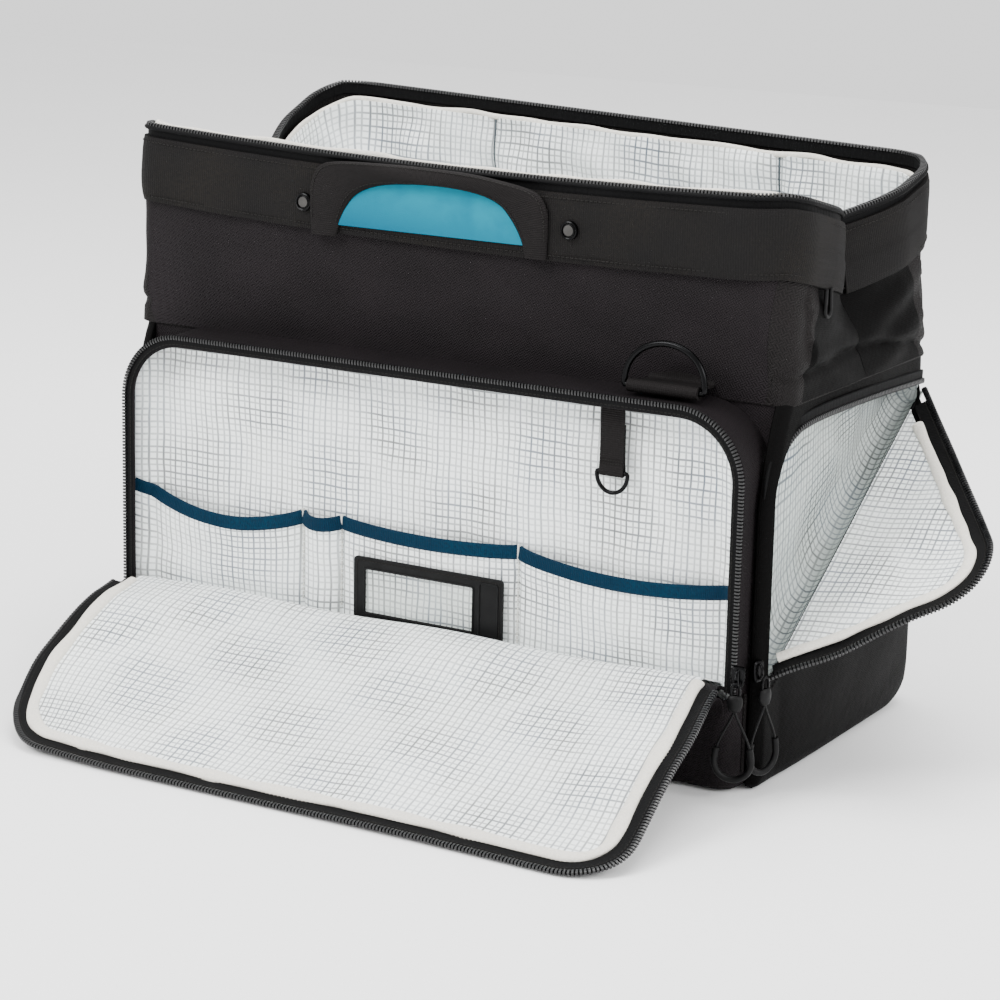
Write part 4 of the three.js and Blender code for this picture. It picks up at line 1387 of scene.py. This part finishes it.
def flap_point(x, d, lift=0.0):
    """Points on the open front flap, x across it, d along it from the fold and lift above it,
    and the flap's normals there. Its left corner is pulled in and its right one flares."""
    s = np.clip(d + FLAP_ROLL, 0, (len(FLAP_LINE) - 1) * LINE_STEP)
    at = np.arange(len(FLAP_LINE)) * LINE_STEP
    y, z, ty, tz = (np.interp(s, at, line[:, k]) for line in (FLAP_LINE, tangents(FLAP_LINE)) for k in (1, 2))
    n = unit(np.stack([np.zeros_like(y), tz, -ty], -1))
    inward = ease((-x - 110) / 142) * ease((d - 95) / 100)
    body = np.clip(d / 30, 0, 1) * np.clip((FLAP_LENGTH - d) / 60, 0.15, 1)
    wave = ripple(x, d * 0.45, 95, 1.7, 81) * body + 2.6 * body * np.sin(x / 38.0 + 1.2 * np.sin(d / 45.0))
    roll = 1.6 * bell(d - 6, 22) * np.sin(x / 31.0 + 0.6)
    pinch = ease((x - 150) / 100) * ease((75 - d) / 75) * (d > -10)
    flare = 8.0 * ease((x - 90) / 160) * ease((d - 60) / 130)
    pts = np.stack([x + 24 * inward - 9 * pinch + flare, y + 4.0 * inward - 0.45 * flare, z], -1)
    pts = pts + n * (lift + wave + roll + 3.2 * inward)[..., None]
    pts[..., 2] = np.maximum(pts[..., 2], 2.1 + lift * 0.6)
    return pts, n


def flap_rows(inset, start):
    """Grid of (x, d) over the flap inside an inset outline with rounded free corners."""
    x0, top = POCKET_X - inset, FLAP_LENGTH - inset
    d = start + (top - start) * np.linspace(0, 1, 90) ** 0.9
    ends = []
    for r in (corner - inset for corner in FLAP_CORNERS):
        over = np.clip(d - (top - r), 0, r)
        ends.append(x0 - r + np.sqrt(np.maximum(r**2 - over**2, 0)))
    u = np.linspace(0, 1, 150)[:, None]
    return u * ends[0][None] - (1 - u) * ends[1][None], np.repeat(d[None], 150, 0)


def flap_edge(inset, start, lift, step=3.0):
    x, top = POCKET_X - inset, FLAP_LENGTH - inset
    right, left = (r - inset for r in FLAP_CORNERS)
    run = rounded_path([(x, start, 0), (x, top, right), (-x, top, left), (-x, start, 0)], step)
    return flap_point(run[:, 0], run[:, 1], lift)


def swelling(count, section, amount, wavelength, seed):
    """A hem's section at each point of its path, with its size varying along it."""
    size = 1 + amount * ripple(np.arange(count) * 4.0, 0, wavelength, 1.0, seed)
    return section[None] * size[:, None, None]


def flap_cloth():
    """Lining, shell and the strip that closes the fold when the flap is up."""
    x, d = flap_rows(15, 1 - FLAP_ROLL)
    uvs = np.stack([x, d], -1)
    pts, _ = flap_point(x, d, 1.2)
    lining = surface("front_flap_lining", pts, LINING, uvs=uvs, thickness=1.0, flip=True)
    fold_over(lining, (-0.150, 0.07), (-0.180, 0.065), "lining")
    x, d = flap_rows(2.5, -14)
    uvs = np.stack([x, d], -1)
    pts, _ = flap_point(x, d, -2.6)
    shell = surface("front_flap_shell", pts, BALLISTIC, uvs=uvs, thickness=1.6, offset=0)
    fold_over(shell, (-0.158, 0.07), (-0.182, 0.065), "ballistic_nylon", "front_flap_panel")
    profile = smooth_path(in_profile(FOLD_STRIP), 1.5)
    pts = np.stack([profile + [x, 0, 0] for x in np.linspace(8 - POCKET_X, POCKET_X - 8, 60)])
    strip = surface("front_fold_strip", pts, BALLISTIC, thickness=1.2, flip=True)
    fold_over(strip, (-0.164, 0.06), (-0.182, 0.06), "ballistic_nylon")


def flap_trim():
    """Zip, hem and stitches round the front flap's free edge."""
    body = "front_flap"
    path, n = flap_edge(5.0, 9.0, 0.4)
    tape = sweep("front_flap_tape", path, n, flat_section(2.2, 10.5), TAPE)
    settle(tape, body, "zip_tape", "front_flap_zip")
    path, n = flap_edge(-0.6, 9.0, 0.2)
    settle(teeth("front_flap_coil", path, n, COIL), body, "zip_tape")
    path, n = flap_edge(14.5, 4.0, 1.6, 4.0)
    section = swelling(len(path), circle(2.6, 16, 4.6), 0.16, 50, 82)
    settle(sweep("front_flap_hem", path, n, section, HEM), body, "lining")
    lines = (flap_edge(inset, 10.0, lift) for inset, lift in ((9.0, 1.7), (2.9, 1.5)))
    rows = [teeth("row", path, n, THREAD, STITCH_ROW) for path, n in lines]
    settle(join("front_flap_stitches", *rows), body, "zip_tape")


flap_cloth()
flap_trim()


# ------------------------------------------------------------------ side pockets
FOLD_START = np.array([HALF_W + 0.4, *FLAP_FOOT])
FOLD_LENGTH = math.hypot(FOLD_RUN, FOLD_RISE)
FOLD = np.array([0.0, FOLD_RUN, FOLD_RISE]) / FOLD_LENGTH
SQUARE = np.array([0.0, -FOLD[2], FOLD[1]])  # square to the fold, in the pocket's mouth
POCKET_PLAN = [(258.5, 109.5, 0), (239.5, 108, 4), (238.8, -118.5, 5), (251.0, -124.0, 4), (253.4, -137.0, 0)]
MOUTH_LINE = (-139, -137, -134, -115, -84, 106, 117), (188, 194, 219, 238, 246, 246, 241)  # y, z
TAPE_LINE = [(257.5, -139.2, 80), (257.5, -139.2, 140), (257.5, -139.2, 196), (258, -134, 222)]
TAPE_LINE += [(260.5, -115, 241.5), (263, -84, 249), (263.8, 10, 249), (262.4, 106, 245)]
POCKET_MIDDLE = np.array([259, -20, 170])


def flap_chain(inset, step=3.0):
    """The flap's free edge as (along the fold, away from it), at an inset."""
    return (flap_outline(inset, step=step) - FLAP_FOOT) @ np.stack([FOLD[1:], SQUARE[1:]], 1)


class SideFlap:
    """A side pocket's flap, turned out by an angle on its fold and sagging."""

    def __init__(self, side, angle, sag, seed):
        self.side, self.sag, self.seed = side, sag, seed
        self.mirror = np.array([1 if side == "right" else -1, 1, 1])
        turn = math.radians(angle)
        out = np.array([1.0, 0.0, 0.0])
        self.up = SQUARE * math.cos(turn) + out * math.sin(turn)
        self.out = out * math.cos(turn) - SQUARE * math.sin(turn)

    def point(self, a, b, lift):
        """A point on the flap: a along the fold, b away from it, lift off its outer face."""
        u = np.clip(b / 130, 0, 1)
        belly = self.sag * np.sin(math.pi * np.clip(a / FOLD_LENGTH, 0, 1)) * np.sin(math.pi * u * 0.8)
        wave = ripple(a * 0.55 + b * 0.3, b * 0.7 - a * 0.12, 58, 0.24 * self.sag, self.seed)
        h = lift + belly + wave * np.clip(b / 40, 0, 1)
        pts = FOLD_START + a[..., None] * FOLD + b[..., None] * self.up + h[..., None] * self.out
        return pts * self.mirror

    def normal(self, inner=False):
        return self.out * self.mirror * (-1 if inner else 1)

    def sheet(self, name, inset, low, lift, material, thickness):
        chain = flap_chain(inset)
        a = np.linspace(chain[0, 0] + 1.5, chain[-1, 0] - 2.5, 110)
        top = np.maximum(np.interp(a, chain[:, 0], chain[:, 1]), low + 0.5)
        b = low + (top[:, None] - low) * np.linspace(0, 1, 44)[None]
        a = np.repeat(a[:, None], 44, 1)
        pts, uvs = self.point(a, b, lift), np.stack([a, b], -1)
        flip = self.side == "left"
        return surface(self.side + name, pts, material, uvs, thickness, offset=0, flip=flip)

    def edge(self, inset, lift, end, step=3.0):
        """A line along the free edge, at an inset, down to a height over the fold at its back."""
        chain = flap_chain(inset, step)
        chain = chain[(chain[:, 1] > end) | (chain[:, 0] < 60)]
        return self.point(chain[:, 0], chain[:, 1], lift)


def side_flap(side, angle, sag, seed):
    flap = SideFlap(side, angle, sag, seed)
    body = side + "_flap"
    shell = flap.sheet("_flap_shell", 6.0, 1.0, 0.0, NYLON, 1.4)
    settle(shell, body, "smooth_nylon", side + "_flap_panel")
    lining = flap.sheet("_flap_lining", 15.0, 2.0, -3.4, LINING, 0.9)
    settle(lining, body, "lining")
    path = flap.edge(14.5, -3.8, 12.0, 4.0)
    section = swelling(len(path), circle(2.4, 14, 4.4), 0.14, 48, seed + 1)
    settle(sweep(side + "_flap_hem", path, flap.normal(True), section, HEM), body, "lining")
    tape = sweep(side + "_flap_tape", flap.edge(6.2, -1.4, 6.0), flap.normal(), flat_section(2.0, 11.6), TAPE)
    settle(tape, body, "zip_tape", side + "_flap_zip")
    coil = teeth(side + "_flap_coil", flap.edge(0.2, -1.6, 3.0), flap.normal(angle > 0), COIL)
    settle(coil, body, "zip_tape")
    rows = []
    for inset in (11.2, 3.6):
        for lift, inside in ((-2.5, True), (-0.3, False)):
            rows.append(teeth("row", flap.edge(inset, lift, 9.0), flap.normal(inside), THREAD, STITCH_ROW))
    settle(join(side + "_flap_stitches", *rows), body, "zip_tape")


def shaded_pocket_lining(side, sign):
    """The hollow behind a side flap: from the zip down its back wall and out over the fold, in the darker
    lining copy as painted shade.
    """
    plan = rounded_path(POCKET_PLAN, 4.0)
    t = np.linspace(0, 1, 26)[None]
    x, y = plan[:, :1], plan[:, 1:] + 0 * t
    low = fold_z(y) - 3.0
    out = ease(np.clip((t - 0.62) / 0.38, 0, 1))
    top = np.interp(y, *MOUTH_LINE)
    z = top - (top - low) * np.clip(t / 0.72, 0, 1) - 9 * np.sin(math.pi * out) * (x < 250)
    x = x + (262.6 - x) * out + ripple(y, z, 55, 0.9, 97) * (1 - out)
    pts = np.stack([x * sign, y, z], -1)
    lining = surface(side + "_shaded_pocket_lining", pts, SHADED, thickness=0.8, flip=sign < 0)
    settle(lining, "root", "lining")


def side_pocket(side):
    """The pocket behind a side flap: lining, the body's half of the zip and piping on the fold."""
    sign = 1 if side == "right" else -1
    mirror = np.array([sign, 1, 1])
    shaded_pocket_lining(side, sign)
    line = smooth_path(TAPE_LINE, 3.0) * mirror
    n = np.tile([1.0 * sign, -0.25, 0.0], (len(line), 1))
    tape = sweep(side + "_pocket_tape", line, n, flat_section(2.2, 8.8), TAPE)
    settle(tape, "root", "zip_tape", side + "_pocket_zip")
    inward = unit(np.cross(tangents(line), n))
    inward = inward * np.sign((inward * (POCKET_MIDDLE * mirror - line)).sum(1, keepdims=True))
    coil = teeth(side + "_pocket_coil", line + inward * 3.6 + n * 0.9, n, COIL, SIDE_COIL_ROW)
    settle(coil, "root", "zip_tape")
    a = np.linspace(6, FOLD_LENGTH - 16, 60)[:, None]
    fold = FOLD_START + a * FOLD + [-0.3, 0, -1.5]
    bead = sweep(side + "_fold_piping", fold * mirror, (sign, 0, 0), circle(1.9), TAPE)
    row = teeth("row", (fold + [0.2, 0, -7]) * mirror, (sign, 0, 0), THREAD, FOLD_STITCH_ROW)
    settle(join(side + "_fold_piping", bead, row), "root", "zip_tape")


side_flap("right", 75.0, 11.0, 91)
side_flap("left", 0.0, 4.5, 95)
side_pocket("right")
side_pocket("left")


# ------------------------------------------------------------------ handles, rivets
GRIP_RINGS = [  # outer x, z, then inner x, z, half depth and distance from the band
    (-107, 342, -86, 342, 2.0, 2.2),
    (-107.5, 352, -83, 351, 2.4, 2.4),
    (-107.5, 366, -78, 362, 2.9, 3.0),
    (-106, 380, -70, 372, 3.6, 3.8),
    (-99, 391, -58, 378.5, 4.4, 4.8),
    (-84, 395.5, -42, 382.5, 5.2, 5.8),
    (-50, 397, -22, 384.5, 5.6, 6.4),
    (-12, 397.2, -8, 385.2, 5.8, 6.8),
    (24, 396, 14, 384.8, 5.6, 6.4),
    (54, 392.5, 34, 382.0, 5.2, 5.8),
    (76, 387.5, 48, 376.5, 4.4, 4.8),
    (84, 377, 56, 368, 3.6, 3.8),
    (85, 363, 62, 358.5, 2.9, 3.0),
    (84.5, 351, 65.5, 350, 2.4, 2.4),
    (84, 342, 66.5, 342, 2.0, 2.2),
]
GRIP_STEPS, GRIP_SIDES = 110, 26
RIVET_PROFILE = [(3.7, 1.5), (4.1, 1.2), (4.3, 0.5), (4.8, 0.5), (5.0, 1.3), (5.6, 1.7)]  # radius, height
RIVET_PROFILE += [(6.3, 1.3), (6.6, 0.2), (6.6, -1.0)]
BACK_RISE = 8.0  # how much higher the back rim's handle and rivets are


def signed_power(x, k):
    return np.sign(x) * np.abs(x) ** k


def grip(tag, side, lift):
    """The carrying handle: folded webbing whose flat roots grow out of the band into a
    rounded grip."""
    rings = np.array(GRIP_RINGS, float)
    knots = travelled((rings[:, :2] + rings[:, 2:4]) / 2)
    s = np.linspace(0, knots[-1], GRIP_STEPS)
    edges = []
    for k in (0, 2):
        fine = smooth_path(np.column_stack([knots, rings[:, k], rings[:, k + 1]]), 1.5)
        edges += [np.interp(s, fine[:, 0], fine[:, 1]), np.interp(s, fine[:, 0], fine[:, 2])]
    outer_x, outer_z, inner_x, inner_z = edges
    depth, stand = (np.interp(s, knots, rings[:, k])[:, None] for k in (4, 5))
    middle = np.stack([(outer_x + inner_x) / 2, (outer_z + inner_z) / 2 + lift], -1)
    half = np.stack([(outer_x - inner_x) / 2, (outer_z - inner_z) / 2], -1)
    a = np.linspace(0, 2 * math.pi, GRIP_SIDES, endpoint=False)
    xz = middle[:, None] + half[:, None] * signed_power(np.cos(a), 0.8)[None, :, None]
    y = RIM_Y + 0.2 + stand + depth * signed_power(np.sin(a), 0.9)
    y = y + ripple(s[:, None], a[None] * 8, 34, 0.22, 101)
    pts = np.stack([xz[..., 0], y * side, xz[..., 1]], -1)
    pieces = [tube(tag + "_grip", pts, s, np.arange(GRIP_SIDES) * 2.0, STRAP)]
    for share in (0.82, -0.78):
        x, z = (middle + half * share).T
        line = np.stack([x, (RIM_Y + 0.3 + stand + depth * 0.62)[:, 0] * side, z], -1)[6:-6]
        pieces.append(teeth("row", resample(line, 3), (0, side, 0), THREAD, GRIP_STITCH_ROW))
    obj = soften(join(tag + "_grip", *pieces), 50)
    settle(obj, tag + "_mouth", "webbing", tag + "_handle")


def handle_patch():
    """A teal half-moon with a straight foot, domed a little off the band behind the handle."""
    x0, x1, z0, z1 = -92.0, 74.0, 350.5, 387.0
    u = np.linspace(-1, 1, 80)[:, None]
    v = np.linspace(0, 1, 24)[None]
    z = z0 + (z1 - z0) * np.maximum(1 - np.abs(u) ** 3.2, 0) ** 0.7 * v
    x = (x0 + x1) / 2 + (x1 - x0) / 2 * u + 0 * v
    dome = (1 - u**8) * np.sin(math.pi * np.clip(v, 0.02, 0.98)) ** 0.25
    pts = np.stack([x, -135.6 - 0.9 * dome, z], -1)
    patch = surface("teal_backing", pts, TEAL, thickness=1.2, uvs=np.stack([x, z], -1))
    settle(patch, "front_mouth", "teal_patch", "handle_backing")


def rivet(name, tag, x, z, *nodes):
    """A coated rivet with a bare cap and a dark groove between them."""
    side = -1 if tag == "front" else 1
    face_y = RIM_Y + 2.6
    turn = np.linspace(0, 2 * math.pi, 36, endpoint=False)

    def ring(r, height):
        disc = np.column_stack([x + r * np.cos(turn), z + r * np.sin(turn)])
        return at_depth(disc, side * (face_y + height))

    pts = np.stack([ring(r, height) for r, height in RIVET_PROFILE], 1)
    body = surface(name, pts, METAL, wrap=True)
    groove = sweep("groove", ring(4.0, 0.55), (0, side, 0), circle(0.55, 6), RUBBER, closed=True)
    obj = outward(join(name, body, lid("cap", pts[:, 0], STEEL), groove))
    settle(soften(obj, 35), tag + "_mouth", "black_metal", *nodes)


grip("front", -1, 0.0)
grip("back", 1, BACK_RISE)
handle_patch()
rivet("rivet_left_cap", "front", -113.5, 364.0, "rivet_left")
rivet("rivet_right_cap", "front", 101.0, 364.0, "rivet_right")
rivet("rivet_back_left", "back", -113.5, 364.0 + BACK_RISE)
rivet("rivet_back_right", "back", 101.0, 364.0 + BACK_RISE)


# ------------------------------------------------------------------ sliders and pulls
SLIDER_OUTLINE = [(-3.2, -7.5, 1.5), (3.2, -7.5, 1.5), (4.6, -1.0, 2), (4.8, 7.0, 2)]
SLIDER_OUTLINE += [(-4.8, 7.0, 2), (-4.6, -1.0, 2)]
SLIDER_ROWS = ((-2.2, 0.9), (-1.8, 1.0), (1.2, 1.0), (1.8, 0.86))  # height, size
BRIDGE = [(-5.2, 1.0), (-4.0, 3.4), (0.0, 4.4), (4.0, 3.4), (5.2, 1.0)]
HOOD_RINGS = [(6.6, 1.6, 1.4), (7.4, 4.4, 2.4), (10.0, 5.4, 2.9)]  # distance down, half width, half depth
HOOD_RINGS += [(14.0, 5.2, 2.8), (17.5, 3.6, 2.3), (18.4, 1.2, 0.9)]


def slider(node, body, place, normal, along=(0, 0, 1)):
    """A zip slider: a waisted body with a bridge over its outer face."""
    name = node + "_body"
    o, n, t = np.array(place, float), unit(normal), unit(along)
    s = np.cross(n, t)
    outline = rounded_path(SLIDER_OUTLINE, 1.0, True)
    pts = np.stack([o + outline @ np.stack([s, t]) * k + h * n for h, k in SLIDER_ROWS], 1)
    shell = surface(name, pts, METAL, wrap=True)
    top, low = lid("top", pts[:, -1], METAL), lid("low", pts[:, 0], METAL, down=True)
    line = [o + a * t + h * n for a, h in smooth_path(BRIDGE, 0.8)]
    bridge = sweep("bridge", line, s, circle(1.25, 8, 0.9), METAL)
    obj = outward(join(name, shell, top, low, bridge))
    settle(soften(obj, 35), body, "black_metal", node)


def u_turn(r, low, count):
    """The lower bend of a cord loop."""
    return [(r * math.cos(t), low + r * math.sin(t), 0.0) for t in np.linspace(0, math.pi, count)[1:-1]]


def pull(side, start, across, length, width, out):
    """An oval link, a moulded hood and a cord loop in a thicker U-shaped grip."""
    name, body = side + "_pocket_pull_loop", side + "_pocket_pull"
    out = unit(out)
    axes = np.stack([unit(across), -UP, out])

    def place(points):
        return np.array(start, float) + np.array(points) @ axes

    a = np.linspace(0, 2 * math.pi, 24, endpoint=False)
    link = place([(3.0 * math.cos(t), 4.4 + 5.6 * math.sin(t), 0.0) for t in a])
    ring = sweep(name, link, out, circle(0.95, 8), METAL, closed=True)
    b = np.linspace(0, 2 * math.pi, 20, endpoint=False)
    rings = [place([(rx * math.cos(t), d, ry * math.sin(t)) for t in b]) for d, rx, ry in HOOD_RINGS]
    hood = surface("hood", np.stack(rings, 1), RUBBER, wrap=True)
    r = width / 2
    hood_end, low = 17.0, length - r - 1.8
    q = np.linspace(0, 1, 16)
    spread = r * np.sin(math.pi / 2 * q) ** 1.3
    leg = [(x, d, 0.0) for x, d in zip(spread, hood_end + (low - hood_end) * q)]
    loop = leg + u_turn(r, low, 18) + [(-x, d, 0.0) for x, d, _ in leg[::-1]]
    cord = sweep("cord", place(loop), out, circle(0.95, 8), RUBBER)
    thick = resample(place([p for p in loop if p[1] > length * 0.62]), 1.5)
    obj = outward(join(name, ring, hood, cord, sweep("sleeve", thick, out, circle(2.3, 12), RUBBER)))
    settle(soften(obj, 50), body, "rubber", body)


def pull_tip(name, body, start, length, width):
    """The end of the main zip's cord loop, where it hangs out under the band."""
    r = width / 2
    low = length - r
    leg = [(r * 0.8 + r * 0.2 * k, low * k, 0.0) for k in np.linspace(0, 1, 8)]
    loop = leg + u_turn(r, low, 14) + [(-x, d, 0.0) for x, d, _ in leg[::-1]]
    path = np.array([(start[0], start[1] + x, start[2] - d) for x, d, _ in loop])
    cord = sweep(name, path, (1.0, 0, 0), circle(1.5), RUBBER)
    settle(soften(cord, 50), body, "rubber", body)


FRONT_OUT, RIGHT_OUT = (0.3, -1, 0), (1, -0.35, 0)
slider("front_pocket_slider", "front_pocket_slider", (254.5, -166.0, 85), (0.25, -1, 0))
pull("front", (256.0, -172.6, 81), (1, 0.3, 0), 67, 25, FRONT_OUT)
slider("right_pocket_slider", "right_pocket_slider", (259.0, -145.5, 85), RIGHT_OUT)
pull("right", (266.0, -147.5, 81), (0.35, 1, 0), 67, 25, RIGHT_OUT)
slider("left_pocket_slider", "root", (-264.2, 113.0, 242), (-1, 0, 0), (0, 0.5, 1))
pull("left", (-270.5, 113.5, 239), (0, 1, 0), 60, 22, (-1, 0, 0))
slider("main_slider", "front_mouth", (256.0, -72.0, 338.5), (-1, 0, 0))
pull_tip("main_pull_loop", "main_pull", (264.6, -72.0, 333.0), 19, 9.0)


# ------------------------------------------------------------------ CAD nodes that stay
for obj in bpy.context.scene.objects:
    if obj.get("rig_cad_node") == "window_frame":
        for slot in obj.material_slots:
            slot.link = "OBJECT"
            slot.material = RUBBER
